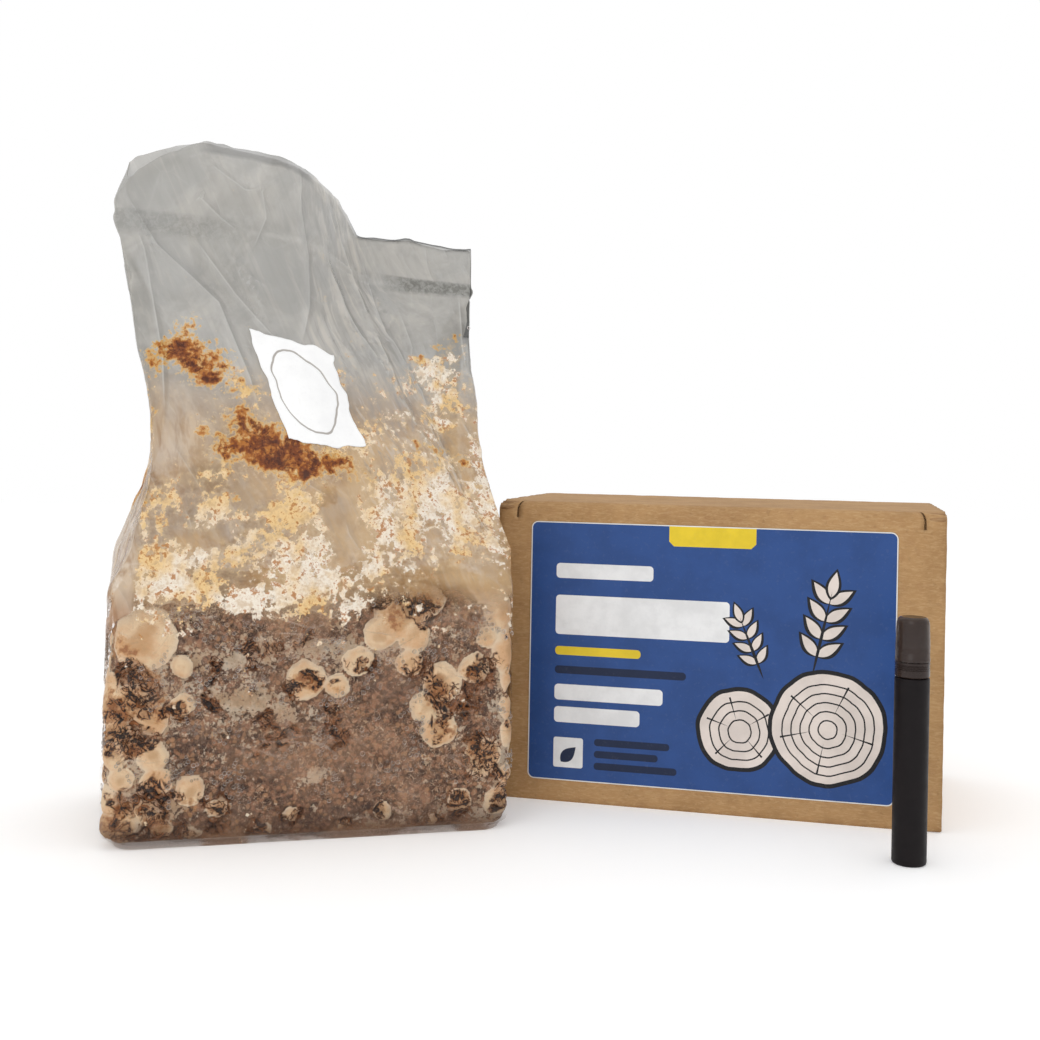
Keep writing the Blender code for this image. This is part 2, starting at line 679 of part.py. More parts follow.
def build_bottle():
    r, wall = BOTTLE_RADIUS, BOTTLE_WALL
    neck_radius = 5.2 * MM
    neck_bore = neck_radius - wall
    shoulder = BOTTLE_BODY_HEIGHT
    neck_top = shoulder + 7 * MM
    body = turned("mist_bottle", [
        (0.0, 0.0), (r - 1.2 * MM, 0.0), (r - 0.3 * MM, 0.4 * MM), (r, 1.3 * MM),
        (r, shoulder - 0.6 * MM), (r - 0.6 * MM, shoulder), (neck_radius, shoulder),
        (neck_radius, neck_top), (neck_bore, neck_top), (neck_bore, shoulder - 2.5 * MM),
        (r - wall, shoulder - 4.5 * MM), (r - wall, 1.6 * MM), (0.0, 1.6 * MM),
    ], (0.012, 0.011, 0.012), 0.35)

    stem = 2.6 * MM
    plug = neck_bore - GAP
    collar_foot = shoulder + GAP
    actuator_foot = COLLAR_TOP + 1.0 * MM
    pump = turned("mist_pump", [
        (0.0, shoulder - 30 * MM), (1.2 * MM, shoulder - 30 * MM), (1.2 * MM, shoulder - 8 * MM),
        (2.7 * MM, shoulder - 6 * MM), (plug, shoulder - 1.5 * MM), (plug, neck_top + GAP),
        (neck_radius + GAP, neck_top + GAP), (neck_radius + GAP, collar_foot),
        (r, collar_foot), (r, COLLAR_TOP - 4.2 * MM), (r - 1.1 * MM, COLLAR_TOP - 4.2 * MM),
        (r - 1.1 * MM, COLLAR_TOP), (stem, COLLAR_TOP), (stem, actuator_foot),
        (4.2 * MM, actuator_foot), (4.2 * MM, CAP_TOP - 4.4 * MM), (3.6 * MM, CAP_TOP - 3.4 * MM),
        (0.0, CAP_TOP - 3.4 * MM),
    ], (0.16, 0.14, 0.12), 0.2)

    cap_foot = COLLAR_TOP - 4.2 * MM + GAP
    cap = turned("mist_cap", [
        (r, cap_foot), (r, CAP_TOP - 13 * MM), (r - 0.5 * MM, CAP_TOP - 3 * MM),
        (r - 1.3 * MM, CAP_TOP - 0.7 * MM), (r - 2.6 * MM, CAP_TOP), (0.0, CAP_TOP),
        (0.0, CAP_TOP - 1.1 * MM), (r - 2.9 * MM, CAP_TOP - 1.1 * MM),
        (r - 1.7 * MM, CAP_TOP - 3 * MM), (r - 0.8 * MM, CAP_TOP - 13 * MM),
        (r - 0.8 * MM, cap_foot),
    ], (0.20, 0.17, 0.14), 0.15, closed=True)
    return body, pump, cap


def centre_on_floor(objects):
    """Moves the kit so that the origin is under the middle of its bounding box."""
    bpy.context.view_layer.update()
    corners = np.array([
        obj.matrix_world @ vertex.co for obj in objects for vertex in obj.data.vertices
    ])
    low, high = corners.min(0), corners.max(0)
    shift = Matrix.Translation((-(low[0] + high[0]) / 2, -(low[1] + high[1]) / 2, -low[2]))
    for obj in objects:
        obj.matrix_world = shift @ obj.matrix_world


def main():
    for obj in list(bpy.data.objects):
        bpy.data.objects.remove(obj)
    kit = [build_block(), build_bag(), build_filter_patch(), build_carton(), build_label()]
    kit += build_bottle()
    centre_on_floor(kit)
    for obj in kit:
        if obj.name in ("grow_bag", "fruiting_block", "mist_bottle", "mist_pump", "mist_cap"):
            obj.data.shade_smooth()
            obj.data.set_sharp_from_angle(angle=math.radians(40))


main()
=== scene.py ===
import math
import random

import bmesh
import bpy
import numpy as np
from mathutils import Matrix, Vector, noise
from mathutils.bvhtree import BVHTree
from mathutils.geometry import delaunay_2d_cdt


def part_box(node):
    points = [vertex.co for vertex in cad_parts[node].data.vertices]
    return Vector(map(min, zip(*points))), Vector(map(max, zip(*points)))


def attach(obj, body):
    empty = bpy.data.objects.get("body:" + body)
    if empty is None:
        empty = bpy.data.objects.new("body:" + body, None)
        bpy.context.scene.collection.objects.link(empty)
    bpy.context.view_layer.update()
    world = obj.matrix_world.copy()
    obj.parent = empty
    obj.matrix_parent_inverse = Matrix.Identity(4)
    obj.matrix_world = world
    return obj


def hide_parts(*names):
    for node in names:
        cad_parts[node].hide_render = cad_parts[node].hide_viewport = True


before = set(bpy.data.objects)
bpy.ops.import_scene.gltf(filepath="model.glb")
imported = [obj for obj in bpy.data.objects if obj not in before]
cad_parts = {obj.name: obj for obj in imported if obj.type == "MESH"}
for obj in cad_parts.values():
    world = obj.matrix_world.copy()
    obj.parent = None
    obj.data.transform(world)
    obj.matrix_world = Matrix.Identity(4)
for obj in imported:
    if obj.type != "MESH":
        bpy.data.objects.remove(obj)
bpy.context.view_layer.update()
mm = 0.001

cartonTurn = math.radians(-13.7)
carton = {"width": 231, "depth": 125, "height": 160, "board": 3.0}        # mm
cartonLow, cartonHigh = (Vector(corner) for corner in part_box("mailer_carton"))
cartonCorner = Vector((cartonHigh.x + carton["depth"] * mm * math.sin(cartonTurn), cartonLow.y, 0))
cartonPlace = Matrix.Translation(cartonCorner) @ Matrix.Rotation(cartonTurn, 4, "Z")
bagTurn = math.radians(14.4)
bagFromCarton = Vector((-322, 22, 0)) * mm
bagPlace = Matrix.Translation(cartonCorner + bagFromCarton) @ Matrix.Rotation(bagTurn, 4, "Z")
bottleLow, bottleHigh = (Vector(corner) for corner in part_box("mist_bottle"))
bottlePlace = Matrix.Translation(((bottleLow.x + bottleHigh.x) / 2, (bottleLow.y + bottleHigh.y) / 2, 0))


# Mesh helpers. Shapes are worked out in millimetres and brought to metres when the mesh is made.

def eased(values, low, high):        # 0 below low, 1 above high, smooth between
    t = np.clip((np.asarray(values, float) - low) / (high - low), 0, 1)
    return t * t * (3 - 2 * t)


def grain(points, size, octaves=4, seed=0.0):        # fractal noise about 0, features of this size
    shift = Vector((seed, 1.7 * seed, 2.3 * seed))
    return np.array([noise.fractal(Vector(p) / size + shift, 1.0, 2.0, octaves) for p in points])


def betweenKnots(before, start, end, after, t):
    return 0.5 * (2 * start + (end - before) * t + (2 * before - 5 * start + 4 * end - after) * t ** 2
                  + (3 * start - before - 3 * end + after) * t ** 3)


def curveThrough(knots, places):        # Catmull-Rom, places counted in knots
    knots = np.asarray(knots, float)
    places = np.asarray(places, float)
    last = len(knots) - 1
    i = np.minimum(places.astype(int), last - 1)
    t = (places - i).reshape((-1,) + (1,) * (knots.ndim - 1))
    before, start = knots[np.maximum(i - 1, 0)], knots[i]
    end, after = knots[i + 1], knots[np.minimum(i + 2, last)]
    return betweenKnots(before, start, end, after, t)


def linked(name, data):
    thing = bpy.data.objects.new(name, data)
    bpy.context.scene.collection.objects.link(thing)
    return thing


def meshPiece(name, points, faces, place, marks=None, sharp=None):
    mesh = bpy.data.meshes.new(name)
    mesh.from_pydata((np.asarray(points, float) * mm).tolist(), [], faces)
    for mark, values in (marks or {}).items():
        layer = mesh.attributes.new(mark, "FLOAT", "POINT")
        layer.data.foreach_set("value", np.asarray(values, np.float32))
    mesh.transform(place)
    mesh.shade_smooth()
    if sharp is not None:
        mesh.set_sharp_from_angle(angle=math.radians(sharp))
    return linked(name, mesh)


def insetMesh(mesh, depth):        # a copy of the mesh with its surface moved inwards
    moved = mesh.copy()
    places, normals = np.empty(3 * len(mesh.vertices)), np.empty(3 * len(mesh.vertices))
    mesh.vertices.foreach_get("co", places)
    mesh.vertex_normals.foreach_get("vector", normals)
    moved.vertices.foreach_set("co", places - normals * depth * mm)
    return moved


def faceOutwards(piece):
    mesh = bmesh.new()
    mesh.from_mesh(piece.data)
    bmesh.ops.recalc_face_normals(mesh, faces=mesh.faces)
    mesh.to_mesh(piece.data)
    mesh.free()


def settled(piece):        # the evaluated mesh takes the place of the piece's modifiers
    graph = bpy.context.evaluated_depsgraph_get()
    result = bpy.data.meshes.new_from_object(
        piece.evaluated_get(graph), preserve_all_data_layers=True, depsgraph=graph)
    piece.modifiers.clear()
    piece.data = result
    return piece


def thickened(piece, thickness, offset=-1):        # a wall of this thickness, inwards from the surface
    wall = piece.modifiers.new("wall", "SOLIDIFY")
    wall.thickness = thickness * mm
    wall.offset = offset
    return settled(piece)


def dressed(piece, material, node):        # a finished piece takes its material and stands in for the record's part
    piece.data.materials.clear()
    piece.data.materials.append(material)
    rideAndReplace(piece, node)
    return piece


def rideAndReplace(piece, node):
    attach(piece, "root")
    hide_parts(node)


def gridFaces(rows, columns, closedRound=False):
    i = np.arange(rows - 1)[:, None] * columns
    j = np.arange(columns if closedRound else columns - 1)[None, :]
    k = (j + 1) % columns
    quads = np.stack([i + j, i + k, i + columns + k, i + columns + j], -1)
    return quads.reshape(-1, 4).tolist()


def awayFromPath(spots, path):        # distance to a bent line, below 0 on its left, and how near its ends
    best, side, along = np.full(len(spots), 1e9), np.ones(len(spots)), np.zeros(len(spots))
    lengths = [math.dist(start, end) for start, end in zip(path, path[1:])]
    passed = 0.0
    for start, end, length in zip(path, path[1:], lengths):
        start, run = np.array(start, float), np.array(end, float) - start
        t = np.clip(((spots - start) @ run) / (run @ run), 0, 1)
        gap = spots - start - t[:, None] * run
        away = np.linalg.norm(gap, axis=1)
        closer = away < best
        side[closer] = np.sign(run[0] * gap[:, 1] - run[1] * gap[:, 0])[closer]
        along[closer] = ((passed + t * length) / sum(lengths))[closer]
        best = np.minimum(best, away)
        passed += length
    return best, side, np.minimum(along, 1 - along)


def blot(spots, a, z, reachA, reachZ):        # a soft oval spot, 1 at its middle
    return np.exp(-((spots[:, 0] - a) / reachA) ** 2 - ((spots[:, 1] - z) / reachZ) ** 2)


# Node helpers

def plug(tree, socket, value):
    if isinstance(value, bpy.types.NodeSocket):
        tree.links.new(value, socket)
    elif isinstance(value, tuple) and socket.type == "RGBA" and len(value) == 3:
        socket.default_value = (*value, 1)
    else:
        socket.default_value = value


def nodeIn(tree, kind, inputs=None, **settings):
    node = tree.nodes.new(kind)
    for name, value in settings.items():
        setattr(node, name, value)
    for name, value in (inputs or {}).items():
        plug(tree, node.inputs[name], value)
    return node


def outOf(tree, kind, inputs=None, **settings):        # the first output of a new node
    return nodeIn(tree, kind, inputs, **settings).outputs[0]


def maths(tree, operation, *values):        # values are taken two at a time from the left
    result = values[0]
    for value in values[1:] or (0.0,):
        result = outOf(tree, "ShaderNodeMath", {0: result, 1: value}, operation=operation)
    return result


def times(tree, *values):
    return maths(tree, "MULTIPLY", *values)


def plus(tree, *values):
    return maths(tree, "ADD", *values)


def minus(tree, first, second):
    return maths(tree, "SUBTRACT", first, second)


def most(tree, *values):
    return maths(tree, "MAXIMUM", *values)


def fromHalf(tree, value):        # how far a noise is from its middle
    return maths(tree, "ABSOLUTE", minus(tree, value, 0.5))


def mixed(tree, factor, first, second, blend="MIX"):
    node = nodeIn(tree, "ShaderNodeMix", data_type="RGBA", blend_type=blend)
    for place, value in ((0, factor), (6, first), (7, second)):
        plug(tree, node.inputs[place], value)
    return node.outputs[2]


def ranged(tree, value, low, high, toLow=0.0, toHigh=1.0, easedEnds=True):
    kind = "SMOOTHSTEP" if easedEnds else "LINEAR"
    inputs = {"Value": value, "From Min": low, "From Max": high, "To Min": toLow, "To Max": toHigh}
    return outOf(tree, "ShaderNodeMapRange", inputs, interpolation_type=kind)


def noiseIn(tree, where, scale, detail=4.0, rough=0.5, bend=0.0):
    inputs = {"Vector": where, "Scale": scale, "Detail": detail, "Roughness": rough, "Distortion": bend}
    return outOf(tree, "ShaderNodeTexNoise", inputs)


def layered(tree, color, *layers):        # each has a value, its range with the amounts there, and a colour
    for value, reach, tone in layers:
        color = mixed(tree, ranged(tree, value, *reach), color, tone)
    return color


def blended(tree, factor, first, second):        # one value into another
    return outOf(tree, "ShaderNodeMix", {0: factor, 2: first, 3: second})


def objectPlace(tree):
    return nodeIn(tree, "ShaderNodeTexCoord").outputs["Object"]


def markOf(tree, name):
    return nodeIn(tree, "ShaderNodeAttribute", attribute_name=name).outputs["Fac"]


def bumped(tree, height, distance):
    return outOf(tree, "ShaderNodeBump", {"Height": height, "Distance": distance * mm, "Strength": 1.0})


def finishOf(name):
    material = bpy.data.materials.new(name)
    material.use_nodes = True
    tree = material.node_tree
    return material, tree, tree.nodes["Principled BSDF"]


def setFinish(tree, shader, **values):
    names = {"color": "Base Color", "rough": "Roughness", "normal": "Normal", "alpha": "Alpha", "ior": "IOR",
             "specular": "Specular IOR Level", "sheen": "Sheen Weight"}
    for name, value in values.items():
        plug(tree, shader.inputs[names[name]], value)


def showOnce(tree, shader, shadow, bounce):        # a thin wall shows one of its two skins
    clear = outOf(tree, "ShaderNodeBsdfTransparent", {"Color": (1, 1, 1)})
    veil = outOf(tree, "ShaderNodeBsdfTransparent", {"Color": shadow})
    inside = nodeIn(tree, "ShaderNodeNewGeometry").outputs["Backfacing"]
    path = nodeIn(tree, "ShaderNodeLightPath").outputs
    lit = outOf(tree, "ShaderNodeMixShader", {0: path["Is Shadow Ray"], 1: shader.outputs[0], 2: veil})
    # bounced light meets the film's own colour and cover, without the fine pattern
    dull = outOf(tree, "ShaderNodeBsdfDiffuse", {"Color": bounce[0]})
    plain = outOf(tree, "ShaderNodeMixShader", {0: bounce[1], 1: clear, 2: dull})
    lit = outOf(tree, "ShaderNodeMixShader", {0: path["Is Diffuse Ray"], 1: lit, 2: plain})
    both = outOf(tree, "ShaderNodeMixShader", {0: inside, 1: lit, 2: clear})
    plug(tree, tree.nodes["Material Output"].inputs["Surface"], both)


def shaderGroup(name, inputs, outputs):
    tree = bpy.data.node_groups.new(name, "ShaderNodeTree")
    for label, (kind, value) in inputs.items():
        socket = tree.interface.new_socket(label, in_out="INPUT", socket_type="NodeSocket" + kind)
        socket.default_value = value
    for label, kind in outputs.items():
        tree.interface.new_socket(label, in_out="OUTPUT", socket_type="NodeSocket" + kind)
    return tree, tree.nodes.new("NodeGroupInput").outputs, tree.nodes.new("NodeGroupOutput").inputs


def grouped(tree, group, **inputs):
    node = nodeIn(tree, "ShaderNodeGroup", node_tree=group)
    for name, value in inputs.items():
        plug(tree, node.inputs[name], value)
    return node.outputs


# Effects that several finishes share

def makeRaggedMask():        # a torn patch: where it shows, and how deep inside it a point lies
    tree, given, put = shaderGroup(
        "raggedMask",
        {"Amount": ("Float", 0.5), "Scale": ("Float", 90.0), "Lace": ("Float", 0.5),
         "Breakup": ("Float", 1.0), "Edge": ("Float", 0.03), "Bend": ("Float", 0.0)},
        {"Mask": "Float", "Depth": "Float"})
    where = objectPlace(tree)
    broad = minus(tree, noiseIn(tree, where, given["Scale"], 4.0, 0.6, given["Bend"]), 0.5)
    fine = noiseIn(tree, where, times(tree, given["Scale"], 4.3), 3.0, 0.62)
    fine = times(tree, minus(tree, fine, 0.5), given["Lace"])
    torn = times(tree, plus(tree, broad, fine), given["Breakup"])
    depth = minus(tree, plus(tree, torn, given["Amount"]), 0.5)
    plug(tree, put["Mask"], ranged(tree, depth, times(tree, given["Edge"], -1.0), given["Edge"]))
    plug(tree, put["Depth"], depth)
    return tree


def leanedPlace(tree, lean, length):        # the bag's own axes, leaned over and drawn out upwards
    square = nodeIn(tree, "ShaderNodeVectorRotate", {"Vector": objectPlace(tree), "Angle": -bagTurn},
                    rotation_type="Z_AXIS")
    leaned = nodeIn(tree, "ShaderNodeVectorRotate", {"Vector": square.outputs[0], "Angle": lean},
                    rotation_type="Y_AXIS")
    shorter = nodeIn(tree, "ShaderNodeCombineXYZ", {0: 1.0, 1: 1.0, 2: maths(tree, "DIVIDE", 1.0, length)})
    drawn = nodeIn(tree, "ShaderNodeVectorMath", {0: leaned.outputs[0], 1: shorter.outputs[0]}, operation="MULTIPLY")
    return drawn.outputs[0]


def makeCrumple():        # creased film: facets between straight ridges, most of them faint
    tree, given, put = shaderGroup(
        "crumple",
        {"Size": ("Float", 0.014), "Lean": ("Float", 0.0), "Length": ("Float", 1.0), "Line": ("Float", 0.05)},
        {"Ridge": "Float", "Height": "Float"})
    where = objectPlace(tree)
    stretched = leanedPlace(tree, given["Lean"], given["Length"])
    scale = maths(tree, "DIVIDE", 1.0, given["Size"])
    cells = nodeIn(tree, "ShaderNodeTexVoronoi", {"Vector": stretched, "Scale": scale}, feature="DISTANCE_TO_EDGE")
    away = cells.outputs["Distance"]
    fading = ranged(tree, noiseIn(tree, where, times(tree, scale, 0.7), 3.0), 0.42, 0.66)
    # the ridge lines are drawn on the film as painted highlights
    ridgeHighlight = ranged(tree, away, 0.0, given["Line"], 1.0, 0.0)
    plug(tree, put["Ridge"], times(tree, ridgeHighlight, fading))
    plug(tree, put["Height"], away)
    return tree


def makeStreaks():        # soft stripes that run one way, as in drawn film; across the fan of pleats they give painted light and shade
    tree, given, put = shaderGroup(
        "streaks", {"Width": ("Float", 0.004), "Lean": ("Float", 0.0), "Length": ("Float", 16.0)}, {"Value": "Float"})
    scale = maths(tree, "DIVIDE", 1.0, given["Width"])
    plug(tree, put["Value"], noiseIn(tree, leanedPlace(tree, given["Lean"], given["Length"]), scale, 3.0, 0.55, 0.3))
    return tree


def makeMottle():        # two tones wandering into each other, with fine specks of a third
    tree, given, put = shaderGroup(
        "mottle",
        {"Light": ("Color", (1, 1, 1, 1)), "Dark": ("Color", (0, 0, 0, 1)), "Speck": ("Color", (0, 0, 0, 1)),
         "Scale": ("Float", 100.0), "Specks": ("Float", 0.3)},
        {"Color": "Color"})
    where = objectPlace(tree)
    broad = noiseIn(tree, where, given["Scale"], 5.0, 0.6)
    fine = noiseIn(tree, where, times(tree, given["Scale"], 9.0), 3.0, 0.6)
    tone = mixed(tree, ranged(tree, broad, 0.35, 0.65), given["Dark"], given["Light"])
    specks = times(tree, ranged(tree, fine, 0.58, 0.68), given["Specks"])
    plug(tree, put["Color"], mixed(tree, specks, tone, given["Speck"]))
    return tree


def makeFineRelief():        # a bump of one grain size
    tree, given, put = shaderGroup(
        "fineRelief",
        {"Scale": ("Float", 800.0), "Depth": ("Float", 0.0001), "Bend": ("Float", 0.0)},
        {"Normal": "Vector"})
    height = noiseIn(tree, objectPlace(tree), given["Scale"], 4.0, 0.6, given["Bend"])
    bump = nodeIn(tree, "ShaderNodeBump", {"Height": height, "Distance": given["Depth"]})
    plug(tree, put["Normal"], bump.outputs[0])
    return tree


raggedMask, crumple, streaks, mottle = makeRaggedMask(), makeCrumple(), makeStreaks(), makeMottle()
fineRelief = makeFineRelief()


def mottled(tree, light, dark, speck, scale, specks):
    return grouped(tree, mottle, Light=light, Dark=dark, Speck=speck, Scale=scale, Specks=specks)["Color"]


print("stage: shared effects are ready")


# Geometry Nodes helpers

def geometryTree(name, inputs):
    tree = bpy.data.node_groups.new(name, "GeometryNodeTree")
    tree.interface.new_socket("Geometry", in_out="INPUT", socket_type="NodeSocketGeometry")
    for label, (kind, value) in inputs.items():
        socket = tree.interface.new_socket(label, in_out="INPUT", socket_type="NodeSocket" + kind)
        if value is not None:
            socket.default_value = value
    tree.interface.new_socket("Geometry", in_out="OUTPUT", socket_type="NodeSocketGeometry")
    return tree, tree.nodes.new("NodeGroupInput").outputs, tree.nodes.new("NodeGroupOutput").inputs


def grownFrom(host, name, tree, values):        # a plain mesh of what the tree makes on the host
    piece = linked(name, host.data.copy())
    grower = piece.modifiers.new("grower", "NODES")
    grower.node_group = tree
    for item in tree.interface.items_tree:
        if item.in_out == "INPUT" and item.name in values:
            grower[item.identifier] = values[item.name]
    return settled(piece)


def randomBetween(tree, low, high, seed):
    inputs = {2: low, 3: high, 8: seed}
    return nodeIn(tree, "FunctionNodeRandomValue", inputs, data_type="FLOAT").outputs[1]


def randomTurn(tree, low, high, seed):
    inputs = {0: low, 1: high, 8: seed}
    spread = outOf(tree, "FunctionNodeRandomValue", inputs, data_type="FLOAT_VECTOR")
    return outOf(tree, "FunctionNodeEulerToRotation", {0: spread})


def scattered(tree, given, put, shape, mark, scales, tilts, wander=0.0):        # shapes where a mark is strong
    density = outOf(tree, "GeometryNodeInputNamedAttribute", {"Name": mark}, data_type="FLOAT")
    density = times(tree, density, given["Density"])
    points = nodeIn(tree, "GeometryNodeDistributePointsOnFaces",
                    {"Mesh": given["Geometry"], "Density": density, "Seed": given["Seed"]})
    turned = nodeIn(tree, "FunctionNodeRotateRotation",
                    {0: points.outputs["Rotation"], 1: randomTurn(tree, *tilts, 5)}, rotation_space="LOCAL")
    placed = nodeIn(tree, "GeometryNodeInstanceOnPoints",
                    {"Points": points.outputs["Points"], "Instance": shape,
                     "Rotation": turned.outputs[0], "Scale": randomBetween(tree, *scales, 9)})
    real = outOf(tree, "GeometryNodeRealizeInstances", {0: placed.outputs[0]})
    if wander:        # so that no two are alike
        drift = nodeIn(tree, "ShaderNodeTexNoise", {"Scale": 230.0, "Detail": 2.0}).outputs["Color"]
        drift = outOf(tree, "ShaderNodeVectorMath", {0: drift, 1: (0.5, 0.5, 0.5)}, operation="SUBTRACT")
        drift = outOf(tree, "ShaderNodeVectorMath", {0: drift, "Scale": wander}, operation="SCALE")
        real = outOf(tree, "GeometryNodeSetPosition", {"Geometry": real, "Offset": drift})
    finish = nodeIn(tree, "GeometryNodeSetMaterial", {"Geometry": real, "Material": given["Material"]})
    plug(tree, put["Geometry"], finish.outputs[0])


# The block: a sawdust loaf with mycelium nodules and dark crusts

block = {
    "halfWidth": 96.0, "halfDepth": 52.2, "low": 1.3, "top": 119.0, "edge": 8.0, "taper": 0.972,
    "steps": (206, 60, 128), "ground": -0.9, "highest": 2.3, "deepest": -4.5, "seed": 7,
    "noduleRise": 3.3, "chipRise": 1.5, "smoothChipRise": 0.35, "skinRise": 0.9, "crustDepth": 1.7, "flatFoot": 9,
    # (a, z, radius) across and up the front
    "nodules": [
        (-79, 97, 15), (-62, 84, 5.5), (-62, 66, 6), (-75, 60, 8.5), (-85, 68, 9), (-75, 43, 8), (-58, 26, 8),
        (-73, 31, 7.5), (-89, 33, 7), (-46, 17, 5), (-11, 13, 4), (33, 12, 5), (71, 15, 6), (82, 36, 10),
        (97, 47, 8), (96, 60, 6.5), (95, 73, 6), (95, 87, 7), (91, 108, 10), (-5, 76, 10), (10, 73, 6.5),
        (20, 84.5, 7.5), (45, 83, 6.5), (61, 73, 10), (53, 62, 8), (60, 50.5, 9.5), (77, 80, 8), (51, 115, 12),
        (39, 106, 13), (30, 98, 9), (47, 97, 9), (-92, 54, 8), (-93, 44, 8), (-97, 76, 7), (-98, 22, 8),
        (-88, 12, 7), (-78, 17, 6), (-57, 5, 5), (57, 5, 4), (90, 14, 7), (96, 26, 7), (14, 4, 4), (-24, 5, 5),
        (83, 95, 6), (-70, 8, 5),
    ],
    "crusts": [
        (-85, 79, 9), (-78, 70, 9), (-89, 63, 8), (-87, 51, 11), (-76, 50, 6), (-75, 22, 11), (-90, 20, 8),
        (-66, 64, 5), (-60, 62, 4), (-64, 24, 6), (-46, 18, 7), (-48, 76, 5), (-48, 67, 5), (-47, 85, 5),
        (-30, 89, 7), (-19, 91, 7), (-6, 96, 6), (-11, 70, 6), (-2, 78, 5), (10, 74, 4), (20, 84, 5), (28, 83, 4),
        (42, 116, 8), (51, 107, 8), (62, 112, 5), (48, 81, 6), (53, 76, 5), (61, 70, 8), (62, 60, 9), (74, 66, 9),
        (60, 50, 6), (81, 79, 8), (81, 38, 12), (89, 29, 7), (10, 49, 7), (7, 60, 6), (-25, 46, 4), (-15, 50, 8),
        (-24, 57, 6), (96, 93, 6), (97, 80, 5), (97, 66, 4), (98, 52, 4), (93, 17, 8), (70, 14, 7), (32, 12, 6),
        (57, 4, 7), (14, 4, 7), (-10, 12, 6), (-27, 4, 8), (-46, 3, 8), (-60, 5, 8), (-75, 5, 9), (-90, 6, 8),
    ],
    # (a, z, reach a, reach z, amount) of the thin white skin between the nodules
    "skins": [
        (-86, 50, 17, 55, 0.36), (-70, 70, 12, 12, 0.2), (-70, 18, 16, 12, 0.26), (96, 60, 9, 60, 0.4),
        (86, 96, 10, 14, 0.3), (60, 62, 15, 15, 0.2), (85, 36, 13, 9, 0.3), (90, 12, 9, 9, 0.26),
        (-36, 66, 12, 5, 0.34), (-20, 91, 22, 6, 0.34), (-34, 84, 8, 4, 0.24), (4, 82, 16, 9, 0.28),
        (22, 90, 20, 7, 0.28), (44, 97, 18, 9, 0.36), (-60, 108, 16, 7, 0.26), (-50, 4, 40, 5, 0.05),
        (30, 5, 12, 6, 0.22), (70, 10, 14, 6, 0.24), (-6, 60, 7, 4, 0.2), (10, 33, 8, 3, 0.36),
        (-46, 55, 5, 5, 0.3), (-28, 69, 11, 3.5, 0.2), (0, 30, 6, 4, 0.5),
        (-18, 50, 18, 9, 0.16), (30, 60, 16, 10, -0.12), (20, 30, 40, 12, -0.06),
        (-50, 88, 22, 6, 0.26), (-44, 73, 18, 5, 0.24), (-24, 63, 18, 4, 0.24), (-6, 93, 24, 4, 0.2),
    ],
    "warmSpots": [
        (-86, 94, 8), (-97, 73, 6), (-72, 31, 6), (-4, 76, 8), (20, 82, 4), (60, 66, 8), (62, 48, 8),
        (77, 78, 7), (96, 80, 7), (38, 107, 9), (-89, 66, 9), (53, 113, 9), (-84, 47, 8), (-68, 64, 7),
        (80, 39, 8), (-90, 17, 9), (-78, 80, 9), (-57, 20, 5), (9, 71, 5), (95, 92, 7), (-74, 12, 8),
    ],
}


def spotsOnBlock():        # the front's spots, and random ones on the other faces
    rng = random.Random(block["seed"])
    front = -block["halfDepth"]
    spots = {kind: [((a, front + 3 * max(0, abs(a) - 90) / 8, z), r) for a, z, r in block[kind]]
             for kind in ("nodules", "crusts", "warmSpots")}
    for _ in range(330):
        side = rng.choice(("back", "back", "left", "right", "top", "top"))
        a = rng.uniform(-1, 1) * block["halfWidth"]
        b = rng.uniform(-1, 1) * block["halfDepth"]
        z = rng.uniform(2, block["top"])
        place = {"back": (a, block["halfDepth"], z), "top": (a, b, block["top"]),
                 "left": (-block["halfWidth"], b, z), "right": (block["halfWidth"], b, z)}[side]
        kind = rng.choices(("nodules", "crusts", "warmSpots"), (5, 4, 2))[0]
        spots[kind].append((place, rng.uniform(5, 13) if kind == "nodules" else rng.uniform(4, 10)))
    return spots


blockSpots = spotsOnBlock()


def marksOnBlock(points):        # rise of the nodules, and masks of nodule, skin, crust and warm centre
    warp = np.stack([grain(points, 9, 3, seed) for seed in (3.0, 5.0, 8.0)], 1) * 1.7
    strength = {}
    for kind, spots in blockSpots.items():
        found = np.zeros(len(points))
        places = points + warp * (1 if kind == "nodules" else 3.4)        # crusts are the more ragged
        for centre, radius in spots:
            away = np.linalg.norm(places - np.array(centre), axis=1) / radius
            found = np.maximum(found, np.clip(1 - away * away, 0, 1) * (0.6 + 0.4 * min(1, radius / 9)))
        strength[kind] = found
    dome = np.sqrt(strength["nodules"])
    front = 1 - eased(points[:, 1], -block["halfDepth"], -block["halfDepth"] + 16)
    skin = 0.24 + 0.2 * (1 - front)
    for a, z, reachA, reachZ, amount in block["skins"]:
        skin += front * amount * blot(points[:, [0, 2]], a, z, reachA, reachZ)
    return dome, eased(dome, 0.05, 0.5), strength["crusts"], strength["warmSpots"], skin


def loafPoints(unit):        # points of the plain rounded loaf, and the way out of it
    halfHeight = 0.5 * (block["top"] - block["low"])
    half = np.array([block["halfWidth"], block["halfDepth"], halfHeight])
    core = half - block["edge"]
    full = unit * half
    inner = np.clip(full, -core, core)
    out = full - inner
    out /= np.linalg.norm(out, axis=1, keepdims=True)
    points = inner + out * block["edge"]
    rise = (points[:, 2] + halfHeight) / (2 * halfHeight)
    narrow = 1 - (1 - block["taper"]) * np.clip(rise - 0.4, 0, 1) / 0.6
    points[:, 0] *= np.where(points[:, 0] < 0, narrow, 0.5 + 0.5 * narrow)
    points[:, 1] *= narrow
    points[:, 2] += halfHeight + block["low"]
    return points, out


